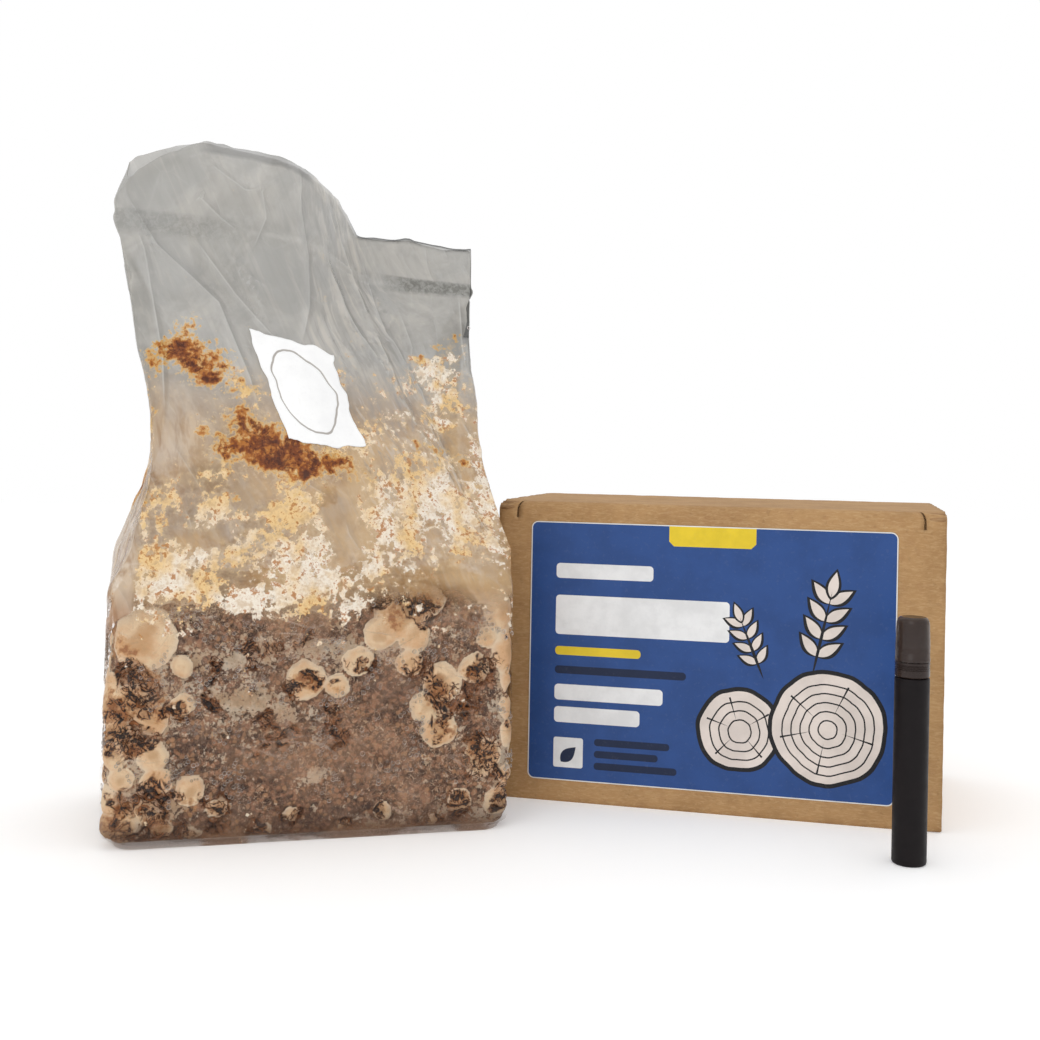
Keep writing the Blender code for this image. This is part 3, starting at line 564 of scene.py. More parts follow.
def cubeGrid(steps):        # a closed cube from -1 to 1 with its own steps along each axis
    corners, count = [], 0
    for axis in range(3):
        u, v = [k for k in range(3) if k != axis]
        grid = np.stack(np.meshgrid(np.arange(steps[u]), np.arange(steps[v]), indexing="ij"), -1).reshape(-1, 2)
        for side in (0, steps[axis]):
            quad = np.zeros((len(grid), 4, 3), int)
            quad[:, :, axis] = side
            for corner, (du, dv) in enumerate(((0, 0), (1, 0), (1, 1), (0, 1))):
                quad[:, corner, u] = grid[:, 0] + du
                quad[:, corner, v] = grid[:, 1] + dv
            outward = (side > 0) == (axis != 1)
            corners.append(quad if outward else quad[:, ::-1])
    places, index = np.unique(np.concatenate(corners).reshape(-1, 3), axis=0, return_inverse=True)
    return places / np.array(steps) * 2.0 - 1.0, index.reshape(-1, 4).tolist()


def makeBlock():
    unit, faces = cubeGrid(block["steps"])
    points, out = loafPoints(unit)
    dome, nodule, crust, warm, skin = marksOnBlock(points)
    chips = grain(points, 4.5, 4, 11.0)
    wrinkles = np.abs(grain(points, 3.2, 3, 21.0))
    push = (block["ground"] + block["noduleRise"] * dome + (1 - nodule) * block["chipRise"] * chips
            + block["smoothChipRise"] * nodule * chips)
    push += (1 - nodule) * block["skinRise"] * eased(skin, 0.35, 0.7)
    push -= block["crustDepth"] * eased(crust, 0.1, 0.6) * eased(wrinkles, 0.05, 0.4)
    push = np.clip(push, block["deepest"], block["highest"]) * eased(points[:, 2], 0, block["flatFoot"])
    push = np.where(out[:, 2] < -0.5, np.minimum(push, 0), push)
    points = points + out * push[:, None]
    curls = crust * eased(points[:, 2], 5, 10) * (1 - eased(np.abs(points[:, 0]), 88, 93))
    marks = {"nodule": nodule, "dome": dome, "crust": crust, "curls": curls, "warm": warm, "skin": skin,
             "hollowShade": eased(-push, 0.8, 4)}
    return meshPiece("fruitingBlock", points, faces, bagPlace, marks), (points.tolist(), faces)


def blockFinish():
    material, tree, shader = finishOf("fruitingBlock")
    nodule, crust, warm = markOf(tree, "nodule"), markOf(tree, "crust"), markOf(tree, "warm")
    where = objectPlace(tree)
    wood = mottled(tree, (0.42, 0.205, 0.11), (0.095, 0.042, 0.024), (0.50, 0.35, 0.23), 230.0, 0.75)
    chips = nodeIn(tree, "ShaderNodeTexVoronoi", {"Vector": where, "Scale": 480.0, "Randomness": 1.0})
    chipTone = outOf(tree, "ShaderNodeSeparateColor", {0: chips.outputs["Color"]})
    wood = layered(tree, wood, (chipTone, (0.62, 0.9, 0.0, 0.75), (0.035, 0.015, 0.009)),
                   (chipTone, (0.0, 0.22, 0.8, 0.0), (0.47, 0.25, 0.12)),
                   (chips.outputs["Distance"], (0.45, 0.75, 0.0, 0.6), (0.03, 0.014, 0.009)))
    grey = times(tree, ranged(tree, noiseIn(tree, where, 60, 4), 0.45, 0.62), 0.3)
    wood = mixed(tree, grey, wood, (0.36, 0.22, 0.15))
    threads = fromHalf(tree, noiseIn(tree, where, 300, 3, 0.55, 0.9))
    fading = ranged(tree, noiseIn(tree, where, 45, 3), 0.42, 0.6, 0.3, 0.9)
    threads = times(tree, ranged(tree, threads, 0.004, 0.02, 1.0, 0.0), fading)
    wood = mixed(tree, threads, wood, (0.64, 0.45, 0.30))
    # the thin skin is white to beige, the nodules cream with tan and brown centres
    skin = grouped(tree, raggedMask, Amount=markOf(tree, "skin"), Scale=125.0, Lace=1.2, Breakup=1.3, Edge=0.06)
    beige = mottled(tree, (0.82, 0.70, 0.54), (0.60, 0.42, 0.26), (0.45, 0.22, 0.09), 90.0, 0.4)
    color = mixed(tree, times(tree, skin["Mask"], 0.74), wood, beige)
    cream = mottled(tree, (0.90, 0.69, 0.45), (0.80, 0.50, 0.27), (0.66, 0.36, 0.15), 80.0, 0.25)
    dome = plus(tree, markOf(tree, "dome"), times(tree, minus(tree, noiseIn(tree, where, 110, 4), 0.5), 0.45))
    cream = layered(tree, cream, (dome, (0.82, 1.0, 0.0, 0.7), (0.58, 0.34, 0.16)),
                    (dome, (0.35, 0.75, 0.55, 0.0), (0.93, 0.80, 0.62)))
    lump = grouped(tree, raggedMask, Amount=times(tree, nodule, 1.15), Scale=150.0, Lace=0.3, Edge=0.16)
    color = mixed(tree, lump["Mask"], color, cream)
    blush = grouped(tree, raggedMask, Amount=times(tree, warm, 0.9), Scale=120.0, Lace=1.2, Breakup=1.4)["Depth"]
    color = layered(tree, color, (blush, (-0.22, 0.10, 0.0, 0.65), (0.64, 0.34, 0.14)),
                    (blush, (0.05, 0.42, 0.0, 0.75), (0.33, 0.115, 0.038)))
    # crusts: curled black lines with amber beside them
    band = grouped(tree, raggedMask, Amount=times(tree, crust, 0.95), Scale=190.0, Lace=1.0, Edge=0.08)
    lines = []
    for scale, width in ((75, 0.027), (150, 0.022)):
        wave = noiseIn(tree, where, scale, 4, 0.55, 1.1)
        away = fromHalf(tree, wave)
        lines.append(maths(tree, "DIVIDE", away, width))
    near = maths(tree, "MINIMUM", *lines)
    around = ranged(tree, crust, 0.04, 0.35)
    amber = times(tree, ranged(tree, near, 0.6, 2.8, 1.0, 0.0), around)
    amber = most(tree, times(tree, amber, 0.92), times(tree, band["Mask"], 0.35))
    color = mixed(tree, amber, color, (0.36, 0.115, 0.024))
    dark = times(tree, ranged(tree, near, 0.45, 1.1, 1.0, 0.0), around)
    core = ranged(tree, band["Depth"], 0.40, 0.48)
    dark = most(tree, dark, core)
    color = mixed(tree, times(tree, dark, 0.97), color, (0.014, 0.007, 0.005))
    # painted shade: the block is darkened in its hollows, where the surface is pushed in
    shade = times(tree, markOf(tree, "hollowShade"), 0.45)
    color = mixed(tree, shade, color, (0.16, 0.10, 0.075), "MULTIPLY")
    foot = ranged(tree, nodeIn(tree, "ShaderNodeSeparateXYZ", {0: where}).outputs[2], 0.003, 0.02, 0.65, 0.0)
    color = mixed(tree, foot, color, (0.09, 0.042, 0.022))        # painted contact shade: darker towards the foot, where it stands
    cut = times(tree, ranged(tree, lines[0], 0.45, 1.1, 0.9, 0.0), around)
    height = minus(tree, noiseIn(tree, where, 620, 4, 0.65), cut)
    setFinish(tree, shader, color=color, rough=ranged(tree, dark, 0, 1, 0.55, 0.3, False),
              normal=bumped(tree, height, 0.6), specular=0.5)
    return material


def crustFlakeTree():        # small dark curls standing on the crusts
    tree, given, put = geometryTree("crustFlakes", {
        "Density": ("Float", 13000.0), "Radius": ("Float", 0.0018), "Thickness": ("Float", 0.00058),
        "Sweep": ("Float", 3.7), "Seed": ("Int", 3), "Material": ("Material", None)})
    arc = outOf(tree, "GeometryNodeCurveArc",
                {"Resolution": 9, "Radius": given["Radius"], "Sweep Angle": given["Sweep"]})
    section = outOf(tree, "GeometryNodeCurvePrimitiveCircle", {"Resolution": 4, "Radius": given["Thickness"]})
    curl = outOf(tree, "GeometryNodeCurveToMesh", {"Curve": arc, "Profile Curve": section, "Fill Caps": True})
    scattered(tree, given, put, curl, "curls", (0.45, 1.3), ((-0.2, -0.2, -3.14), (0.2, 0.2, 3.14)), 0.0034)
    return tree


def crustFinish():
    material, tree, shader = finishOf("crustFlake")
    tones = mottled(tree, (0.32, 0.11, 0.026), (0.012, 0.006, 0.004), (0.42, 0.20, 0.07), 110.0, 0.3)
    relief = grouped(tree, fineRelief, Scale=1500.0, Depth=0.0002)["Normal"]
    setFinish(tree, shader, color=tones, rough=0.38, normal=relief)
    return material


blockPiece, blockMesh = makeBlock()
flakeFinish = crustFinish()
crustFlakes = grownFrom(blockPiece, "crustFlakes", crustFlakeTree(), {"Material": flakeFinish})
dressed(blockPiece, blockFinish(), "fruiting_block")
dressed(crustFlakes, flakeFinish, "fruiting_block")
print("stage: block", len(blockPiece.data.polygons), "faces, flakes", len(crustFlakes.data.polygons))


# The bag: film between lines up the bag, from its foot to its loose lips

bag = {
    "halfWidth": 100, "halfDepth": 56, "frontRadius": 9, "cornerRadius": 14, "footRadius": 9, "footEndInset": 9,
    "footSideInset": 3, "belly": 60, "film": 0.35, "clingReach": 7.0, "clingMost": 2.2, "sealGap": 2.4, "mouth": 5,
    "blockGap": 0.7, "clingTop": 126, "beadDepth": 0.62, "footRings": (0.93, 0.5), "tallest": 338,
    "frontSteps": 112, "sideSteps": 30, "backSteps": 58,
    "rowsBetweenStations": (7, 27, 28, 16, 30, 27, 22, 7, 8, 9),
    # Stations up the bag: 0 foot, 1 foot edge, 2 belly, 3 block top, 4 shoulder, 5 waist, 6 throat,
    # 7 seal foot, 8 seal top, 9 lip middle, 10 lip edge. Rows of (a, b, height) from station 3 on.
    "frontLeft": [(-99, -56, 110), (-86, -47, 139), (-77, -31, 195), (-86.5, -20, 245),
                  (-96, -10, 291), (-97.5, -10, 302), (-98.3, -10, 310), (-96.5, -11, 317)],
    "frontPeak": [(-46, -55, 112), (-46, -52, 140), (-48, -37, 194), (-51, -23, 246),
                  (-53, -14, 288), (-54, -14, 299), (-55, -14.5, 320), (-55, -15, 337)],
    "frontFold": [(12, -55, 112), (8, -51, 140), (-2, -37, 192), (-7, -20, 246),
                  (-8, -21, 284), (-8.5, -22, 295), (-9, -23, 312), (-10, -24, 329)],
    "frontValley": [(86, -53, 112), (80, -38, 146), (57, -14, 202), (43, 5, 249),
                    (31, 18, 273), (30, 19, 282), (28, 20, 290), (26, 20, 298)],
    "frontRight": [(99, -55.5, 112), (97, -40, 137), (86, -14, 190), (84, 3, 245),
                   (85, 13, 269), (85.5, 14, 276), (85.6, 15, 285), (85.7, 16, 294)],
    "backRight": [(98, 56, 112), (93, 45, 137), (84, 34, 190), (84, 24, 245)],
    "backValley": [(50, 54, 112), (48, 47, 140), (40, 42, 200), (36, 32, 248)],
    "backFold": [(0, 54, 112), (0, 47, 138), (-4, 32, 195), (-5, 8, 246)],
    "backPeak": [(-48, 54, 112), (-48, 46, 138), (-46, 24, 195), (-50, -1, 246)],
    "backLeft": [(-98, 56, 112), (-88, 44, 137), (-80.5, 18, 195), (-88, -2, 245)],
    "leftGusset": [(-99, 0, 112), (-94.5, 0, 138), (-74, -6, 195), (-74, -11, 245),
                   (-96.8, -9, 291), (-98.3, -9, 302), (-99.1, -8.4, 310.5), (-97.3, -8, 320)],
    "rightGusset": [(96.5, 0, 112), (91, 0, 138), (72, 10, 192), (68, 14, 245),
                    (85.8, 14.2, 269), (86.3, 15.2, 276), (86.4, 16.8, 285), (86.5, 19, 293)],
    "frontShares": (-1.0, -0.48, 0.14, 0.84, 1.0), "backShares": (1.0, 0.5, 0.0, -0.48, -1.0),
    "backLipRise": (10, 1, 0, 0, 0),
    # (a, rise) along the torn edge of the lips
    "lipEdge": ((-62, 0), (-57, 1), (-50, -1.5), (-37, -3.5), (-25, -3.8), (-14, -2.4), (-9, -3.2), (-3, -1),
                (6, 5), (13, 9.5), (18, 8), (24, 3), (40, 5), (52, 6.5), (75, 2)),
}
frontNames = ("frontLeft", "frontPeak", "frontFold", "frontValley", "frontRight")
backNames = ("backRight", "backValley", "backFold", "backPeak", "backLeft")


def footKnots(share, side):        # the stations beside the block
    a, b = bag["halfWidth"] * share, bag["halfDepth"] * side
    inset = math.copysign(bag["footEndInset"], a) if abs(share) > 0.9 else 0
    return [(a - inset, b - side * bag["footSideInset"], 0), (a, b, bag["footRadius"]), (a, b, bag["belly"])]


def sealedBack(front, rise):        # a back line above the seal's foot, just behind its front line
    gaps = (bag["sealGap"], bag["sealGap"], 0.6 * bag["mouth"] + bag["sealGap"], bag["mouth"] + bag["sealGap"])
    lifts = (0, 0, 0.4 * rise, rise)
    return [(a, b + gap, z + lift) for (a, b, z), gap, lift in zip(front[4:], gaps, lifts)]


def bagLines():
    front = [footKnots(share, -1) + bag[name] for share, name in zip(bag["frontShares"], frontNames)]
    back = []
    pairs = zip(bag["backShares"], backNames, reversed(frontNames), reversed(bag["backLipRise"]))
    for share, name, before, rise in pairs:
        back.append(footKnots(share, 1) + bag[name] + sealedBack(bag[before], rise))
    right = footKnots(0.97, 0) + bag["rightGusset"]
    left = footKnots(-1.0, 0) + bag["leftGusset"]
    return np.array(front, float), np.array(right, float), np.array(back, float), np.array(left, float)


lines = bagLines()


def bagRings(stations):        # rows of points round the bag, front left corner first
    front = np.stack([curveThrough(line, stations) for line in lines[0]])
    right = curveThrough(lines[1], stations)
    back = np.stack([curveThrough(line, stations) for line in lines[2]])
    left = curveThrough(lines[3], stations)
    panels = [
        curveThrough(front, np.arange(bag["frontSteps"]) * 4 / bag["frontSteps"]),
        curveThrough(np.stack([front[-1], right, back[0]]), np.arange(bag["sideSteps"]) * 2 / bag["sideSteps"]),
        curveThrough(back, np.arange(bag["backSteps"]) * 4 / bag["backSteps"]),
        curveThrough(np.stack([back[-1], left, front[0]]), np.arange(bag["sideSteps"]) * 2 / bag["sideSteps"]),
    ]
    rings = np.concatenate(panels).transpose(1, 0, 2)
    boxy = np.clip(4.0 - stations, 0, 1)[:, None, None]
    return rings + (roundedInPlan(rings) - rings) * boxy


def squarePlaces():        # where each column lies on a square from -1 to 1
    shares = {"front": bag["frontShares"], "back": bag["backShares"]}
    places = []
    for name, steps, side in (("front", bag["frontSteps"], -1), ("right", bag["sideSteps"], 1),
                              ("back", bag["backSteps"], 1), ("left", bag["sideSteps"], -1)):
        along = np.arange(steps) / steps
        if name in shares:
            places += [(x, side) for x in np.interp(along * 4, range(5), shares[name])]
        else:
            places += [(side, side * (2 * t - 1)) for t in along]
    return np.array(places, float)


def roundedInPlan(rings):        # vertical edges rounded beside the block
    front, side, back = bag["frontSteps"], bag["sideSteps"], bag["backSteps"]
    corners = [0, front, front + side, front + side + back]
    half = np.abs(rings[:, corners, :2]).mean(1, keepdims=True)
    radius = np.where(squarePlaces()[:, 1] < 0, bag["frontRadius"], bag["cornerRadius"])[None, :, None]
    core = half - radius
    full = squarePlaces()[None] * half
    near = np.clip(full, -core, core)
    out = full - near
    out /= np.linalg.norm(out, axis=2, keepdims=True)
    result = rings.copy()
    result[:, :, :2] = near + out * radius
    return result


def frontPoints(shares, stations):        # points of the front panel, one for each pair
    rows = np.stack([curveThrough(line, stations) for line in lines[0]])
    at = np.clip(np.asarray(shares) * 4, 0, 4)
    i = np.minimum(at.astype(int), 3)
    t = (at - i)[:, None]
    n = np.arange(len(i))
    before, start = rows[np.maximum(i - 1, 0), n], rows[i, n]
    end, after = rows[i + 1, n], rows[np.minimum(i + 2, 4), n]
    return betweenKnots(before, start, end, after, t)


# Creases on the front, each a line of (a, z), its height and its width: above 0 is towards the viewer
creases = [
    ([(-10, 330), (-9, 303), (-5, 282), (-4, 257), (-8, 235)], 2.6, 2.6),
    ([(-96, 314), (-78, 285), (-48, 257), (-33, 221), (-26, 197)], 2.4, 3.0),
    ([(-91, 300), (-84, 283), (-74, 230), (-72, 196)], 1.6, 3.2),
    ([(-55, 328), (-36, 313), (-27, 314)], 1.2, 2.2),
    ([(-62, 305), (-58, 310), (-47, 299), (-38, 292)], 1.3, 1.8),
    ([(-30, 322), (-26, 300), (-33, 282)], 1.2, 2.2),
    ([(-62, 292), (-40, 262), (-20, 240), (-14, 226)], -1.6, 3.4),
    ([(0, 292), (17, 258), (35, 229), (55, 193), (80, 152)], 2.8, 3.0),
    ([(25, 296), (39, 249), (57, 218), (64, 193), (82, 146)], -3.4, 3.6),
    ([(21, 280), (40, 226), (54, 195), (72, 160)], 2.2, 2.4),
    ([(12, 300), (27, 262), (33, 246)], 1.6, 2.2),
    ([(56, 206), (74, 166), (92, 134)], 2.2, 2.6),
    ([(79, 272), (79, 242), (82, 226)], 1.6, 2.0),
    ([(46, 262), (52, 240), (49, 222)], 1.2, 2.4),
    ([(-34, 200), (-10, 172), (10, 160)], 1.2, 3.0),
    ([(-48, 133), (-22, 145), (2, 158)], 1.8, 2.6),
    ([(-70, 190), (-56, 168), (-48, 150)], 1.0, 2.6),
    ([(-18, 33), (12, 31), (36, 28)], 0.7, 1.3),
    ([(28, 18), (59, 27), (92, 24)], 0.8, 1.3),
    ([(53, 15), (92, 18)], 0.7, 1.2),
    ([(-52, 24), (-20, 17), (20, 20)], 0.6, 1.3),
]

finer = {"count": 190, "seed": 31, "clear": 5, "width": 1.6, "steepAbove": 118}


def makeFinerCreases():
    rng = random.Random(finer["seed"])
    found = []
    for _ in range(finer["count"]):
        a, z = rng.uniform(-96, 90), rng.uniform(8, 334)
        steep = -math.radians(rng.gauss(62, 14)) if z > finer["steepAbove"] else math.radians(rng.gauss(0, 16))
        if rng.random() < 0.25:
            steep = rng.uniform(0, math.pi)
        reach = rng.uniform(8, 34)
        bend = rng.uniform(-0.12, 0.12)
        path = []
        for t in (0, 0.35, 0.7, 1):
            turn = steep + bend * (2 * t - 1) * 2
            path.append((a + reach * t * math.cos(turn), z + reach * t * math.sin(turn)))
        if min(awayFromPath(np.array(path), line)[0].min() for line, _, _ in creases) < finer["clear"]:
            continue        # they keep clear of the greater ones
        found.append((path, rng.uniform(0.4, 1.3) * rng.choice((1, 1, -1)), finer["width"]))
    return found


finerCreases = makeFinerCreases()

# What lies on the film, as soft ovals of (a, z, reach a, reach z, amount) on the front
filmSpots = {
    "cover": [
        (-57, 171, 12, 10, 0.16), (-73, 160, 8, 7, 0.26), (-48, 158, 10, 7, 0.28), (-11, 160, 13, 6, 0.34),
        (-38, 137, 9, 4, 0.36), (-28, 144, 8, 4, 0.36), (-12, 153, 12, 4, 0.38), (-66, 130, 16, 9, 0.38),
        (-66, 119, 14, 4, 0.34), (-38, 115, 15, 5, 0.42), (-14, 130, 12, 11, 0.32), (-5, 117, 15, 7, 0.28),
        (2, 140, 6, 8, 0.28), (33, 150, 10, 10, 0.34), (27, 131, 7, 6, 0.24), (44, 138, 8, 7, 0.26),
        (36, 168, 11, 9, 0.18), (53, 163, 12, 9, 0.24), (70, 150, 11, 13, 0.26), (84, 182, 5, 13, 0.34),
        (88, 158, 4, 17, 0.36), (61, 232, 9, 6, 0.42), (73, 239, 8, 8, 0.46), (69, 222, 12, 10, 0.38),
        (68, 207, 11, 9, 0.22), (-80.5, 146, 2, 20, 0.3), (-46, 228, 6, 12, 0.24), (-36, 216, 6, 7, 0.3),
        (-57, 250, 6, 5, 0.3), (-80, 214, 5, 16, 0.2), (-29, 165, 9, 5, -0.34), (-56, 145, 14, 4, -0.38),
        (-35, 125, 9, 3.5, -0.36), (12, 150, 10, 16, -0.42), (40, 152, 4, 5, -0.3), (58, 141, 5, 6, -0.26),
        (73, 121, 15, 9, -0.45), (48, 118, 14, 5, -0.2), (-70, 190, 12, 14, -0.14),
    ],
    "stain": [
        (-68, 235, 8, 5, 0.46), (-61, 228, 8, 6, 0.50), (-52, 220, 7, 5, 0.48), (-62, 246, 9, 7, 0.32),
        (-61, 232, 20, 16, 0.54), (-79, 228, 6, 8, 0.36), (-46, 228, 7, 12, 0.24), (-35, 216, 7, 6, 0.40),
        (-37, 202, 7, 8, 0.46), (-25, 195, 10, 9, 0.42), (-36, 185, 10, 5, 0.46), (-23, 179, 10, 4, 0.50),
        (-23, 186, 25, 14, 0.52), (-10, 187, 10, 6, 0.36), (-8, 173, 9, 4, 0.46), (4, 179, 13, 7, 0.66),
        (13, 180, 7, 4, 0.30), (-45, 184, 7, 8, 0.26), (-55, 194, 4, 6, 0.50), (-78, 203, 3, 5, 0.46),
        (-71, 151, 4, 2, 0.48), (-40, 163, 4, 3, 0.50), (35, 153, 2, 2, 0.5), (48, 154, 2, 2, 0.5),
        (51, 189, 4, 4, 0.50), (63, 187, 8, 3, 0.48), (76, 180, 6, 7, 0.46), (76, 247, 6, 4, 0.66),
        (66, 241, 8, 4, 0.58), (56, 234, 6, 4, 0.58), (-20, 292, 2.4, 1.5, 0.8), (-50, 206, 14, 12, 0.22),
        (82, 160, 4, 14, 0.26), (-80.5, 150, 2, 24, 0.32), (-82, 106, 5, 4, 0.42), (30, 135, 8, 3, 0.22),
        (-10, 160, 14, 5, 0.22), (20, 172, 12, 5, 0.26), (-66, 172, 12, 8, 0.2), (55, 162, 3, 3, 0.36),
    ],
}

filmTones = {
    # crease is the painted highlight on the creases, shade the painted shade beside them and between the fan's pleats
    "hazeLow": (0.39, 0.38, 0.352), "hazeHigh": (0.475, 0.455, 0.420), "crease": (0.74, 0.73, 0.71),
    "shade": (0.27, 0.26, 0.245),
    "tanLow": (0.40, 0.225, 0.09), "tanHigh": (0.60, 0.375, 0.165), "lowDark": (0.25, 0.120, 0.062),
    "lowLight": (0.44, 0.255, 0.15), "mouldWhite": (0.90, 0.82, 0.70), "mouldCream": (0.83, 0.58, 0.28),
    "veil": (0.70, 0.52, 0.32), "beige": (0.70, 0.56, 0.42), "beigeDark": (0.38, 0.23, 0.125),
    "fleck": (0.42, 0.155, 0.025), "sealDark": (0.12, 0.12, 0.105), "sealLight": (0.30, 0.30, 0.28),
    # how a stain deepens inwards: level and colour
    "stain": ((-0.05, (0.76, 0.60, 0.35)), (0.09, (0.68, 0.39, 0.12)), (0.22, (0.44, 0.155, 0.022)),
              (0.40, (0.21, 0.050, 0.006)), (0.60, (0.070, 0.013, 0.002))),
}


def filmMarks(points, station, side, rowLength):        # masks over the film; side is 0 at the front, 1 at the back
    spots = points[:, [0, 2]]
    high = points[:, 2]
    onFront = 1 - eased(side, 0.0, 0.35)
    cover = np.interp(high, (0, 88, 102, 112, 150, 185, 200, 222, 250), (.06, .11, .33, .42, .42, .36, .28, .18, -.1))
    gusset = (1 - eased(points[:, 0], -86, -82)) * eased(high, 92, 108) * (1 - eased(high, 166, 178))
    gusset = np.maximum(gusset, 0.75 * onFront * blot(spots, -70, 188, 19, 19))
    gusset = np.maximum(gusset, eased(side, 0.03, 0.12) * (high < 200) * eased(high, 30, 80))
    gusset *= 1 - eased(side, 0.45, 0.55)        # not on the back
    cover -= 0.34 * gusset
    stain = np.interp(high, (0, 110, 150, 200, 240, 280), (-.2, -.1, .02, .05, -.05, -.25))
    fields = {"cover": cover, "stain": stain}
    for name, field in fields.items():
        for a, z, reachA, reachZ, amount in filmSpots[name]:
            field += onFront * amount * blot(spots, a, z, reachA, reachZ)
    rng = random.Random(12)
    for _ in range(46):        # the unseen sides have their own
        centre = np.array((rng.uniform(-95, 95), rng.choice((45, 30, 0, -10)), rng.uniform(110, 235)))
        away = np.linalg.norm((points - centre) / np.array((rng.uniform(8, 20), 30, rng.uniform(6, 14))), axis=1)
        name, amount = rng.choice((("cover", 0.25), ("cover", -0.3), ("stain", 0.5), ("stain", 0.7)))
        fields[name] += (1 - onFront) * amount * np.exp(-away ** 2)
    seal = eased(station, 6.95, 7.1) * (1 - eased(station, 7.95, 8.15))
    seal *= 0.1 + np.maximum(0.38 * (1 - eased(points[:, 0], -66, -30)), 0.86 * eased(points[:, 0], 34, 50))
    lip = eased(station, 9.55, 9.65) * eased(points[:, 0], -62, -50) * (1 - eased(points[:, 0], -8, 0))
    shrunk = points * np.array((block["halfWidth"] / bag["halfWidth"], block["halfDepth"] / bag["halfDepth"], 1))
    dome, _, crust, _, _ = marksOnBlock(shrunk)
    touch = np.maximum(eased(dome, 0.3, 0.75), eased(crust, 0.1, 0.5)) * (1 - eased(high, 108, 122))
    crease, creaseSide, nearest = np.zeros(len(points)), np.full(len(points), 9.0), np.full(len(points), 1e9)
    owner = np.zeros(len(points), int)
    for number, (line, height, _) in enumerate(creases + finerCreases):
        away, turn, end = awayFromPath(spots, line)
        closer = away < nearest
        strength = min(1, 0.42 * abs(height)) * eased(end, -0.02, 0.22) * np.exp(-(away / 3.4) ** 2)
        crease[closer] = strength[closer]
        creaseSide[closer] = (away * turn)[closer]
        owner[closer] = number
        nearest = np.minimum(nearest, away)
    crease *= np.maximum(onFront, eased(station, 6.4, 7.0))
    grid = owner.reshape(-1, rowLength)
    torn = np.zeros(grid.shape, bool)        # where one crease's field meets the next, neither is drawn
    for shift, axis in ((1, 0), (-1, 0), (1, 1), (-1, 1)):
        torn |= np.roll(grid, shift, axis) != grid
    crease[torn.ravel() & (nearest > 0.5)] = 0
    fanLeft = np.interp(high, (150, 235, 300), (30, -5, 0))
    fanRight = np.interp(high, (135, 300), (92, 26))
    fan = eased(points[:, 0] - fanLeft, -6, 6) * eased(fanRight - points[:, 0], -6, 6)
    fan = fan * eased(high, 125, 165) * onFront
    rim = eased(station, 9.72, 9.9) * eased(points[:, 0], 16, 26)
    wing = (station > 5.6) * (side > 0) * (side < np.where(station > 5.95, 0.3, 0.04)) * (points[:, 0] > 0)
    rim = np.maximum(rim, (0.4 + 0.6 * (station > 6)) * wing)
    beads = (1 - eased(high, 118, 132)) * eased(high, 14, 34) + 0.10 * eased(high, 235, 250) * (station < 6.8)
    beads *= eased(grain(points, 15, 3, 40.0), -0.05, 0.4) * (1 - touch)
    pale = 0.25 + 0.75 * np.maximum(1 - eased(high, 128, 176), eased(points[:, 0], 10, 40))
    pale += 0.7 * eased(points[:, 0], 45, 58) * eased(high, 180, 205)
    return {"cover": cover, "stain": stain, "seal": seal, "lip": lip, "touch": touch, "crease": crease,
            "creaseSide": np.clip(creaseSide, -9, 9), "beads": beads, "pale": pale, "gusset": gusset,
            "fan": fan, "rim": rim}


def filmShift(points, normals, station, side):        # creases and crinkles
    spots = points[:, [0, 2]]
    joined = eased(station, 6.2, 7.0)        # above the throat both films move as one
    towardsViewer = np.zeros(len(points))
    for line, height, width in creases + finerCreases:
        away, _, _ = awayFromPath(spots, line)
        towardsViewer += height * np.exp(-(away / width) ** 1.3)
    reach = np.clip(1 - side + side * joined, 0, 1)
    patchMask = 1 - np.exp(-(((spots[:, 0] + 5) / 27) ** 4 + ((spots[:, 1] - 216) / 36) ** 4))
    shift = np.zeros_like(points)
    shift[:, 1] = -towardsViewer * reach * patchMask
    aboveBlock = eased(points[:, 2], 112, 130)
    flat = np.stack([points[:, 0], 0 * points[:, 0], points[:, 2]], 1)
    common = 1.3 * grain(flat, 26, 3, 2.0) + 0.5 * (0.3 - np.abs(grain(flat, 11, 2, 4.0)))
    own = 2.0 * grain(points, 34, 2, 6.0) + 0.9 * (0.3 - np.abs(grain(points, 13, 3, 9.0)))
    free = aboveBlock * (1 - joined) * patchMask * eased(station, 3, 4)
    shift[:, 1] += common * joined * eased(station, 6.6, 7)
    shift += normals * (own * free)[:, None]
    return shift


def clung(points, normals, rowLength, tree):        # film drawn in until it nearly meets the block
    gaps = np.full(len(points), 0.0)
    for n in np.nonzero((points[:, 2] > 0.5) & (points[:, 2] < bag["clingTop"]))[0]:
        hit = tree.ray_cast(Vector(points[n]), -Vector(normals[n]), bag["clingReach"])
        gaps[n] = hit[3] if hit[3] is not None else bag["clingReach"] * 0.5
    grid = gaps.reshape(-1, rowLength)
    grid[0] = grid[1]
    for _ in range(3):        # taut film bridges the small hollows
        spread = (np.roll(grid, 1, 1) + np.roll(grid, -1, 1)
                  + np.roll(grid, 1, 0) + np.roll(grid, -1, 0)) / 4
        grid = np.minimum(grid, spread + 0.25)
    near = 1 - eased(points[:, 2], 104, 124)
    return -normals * (np.clip(grid.ravel() - bag["film"] - bag["blockGap"], 0, bag["clingMost"]) * near)[:, None]


def gridNormals(rings):
    along = np.roll(rings, -1, 1) - np.roll(rings, 1, 1)
    up = np.gradient(rings, axis=0)
    normals = np.cross(along, up)
    return normals / np.maximum(np.linalg.norm(normals, axis=2, keepdims=True), 1e-9)


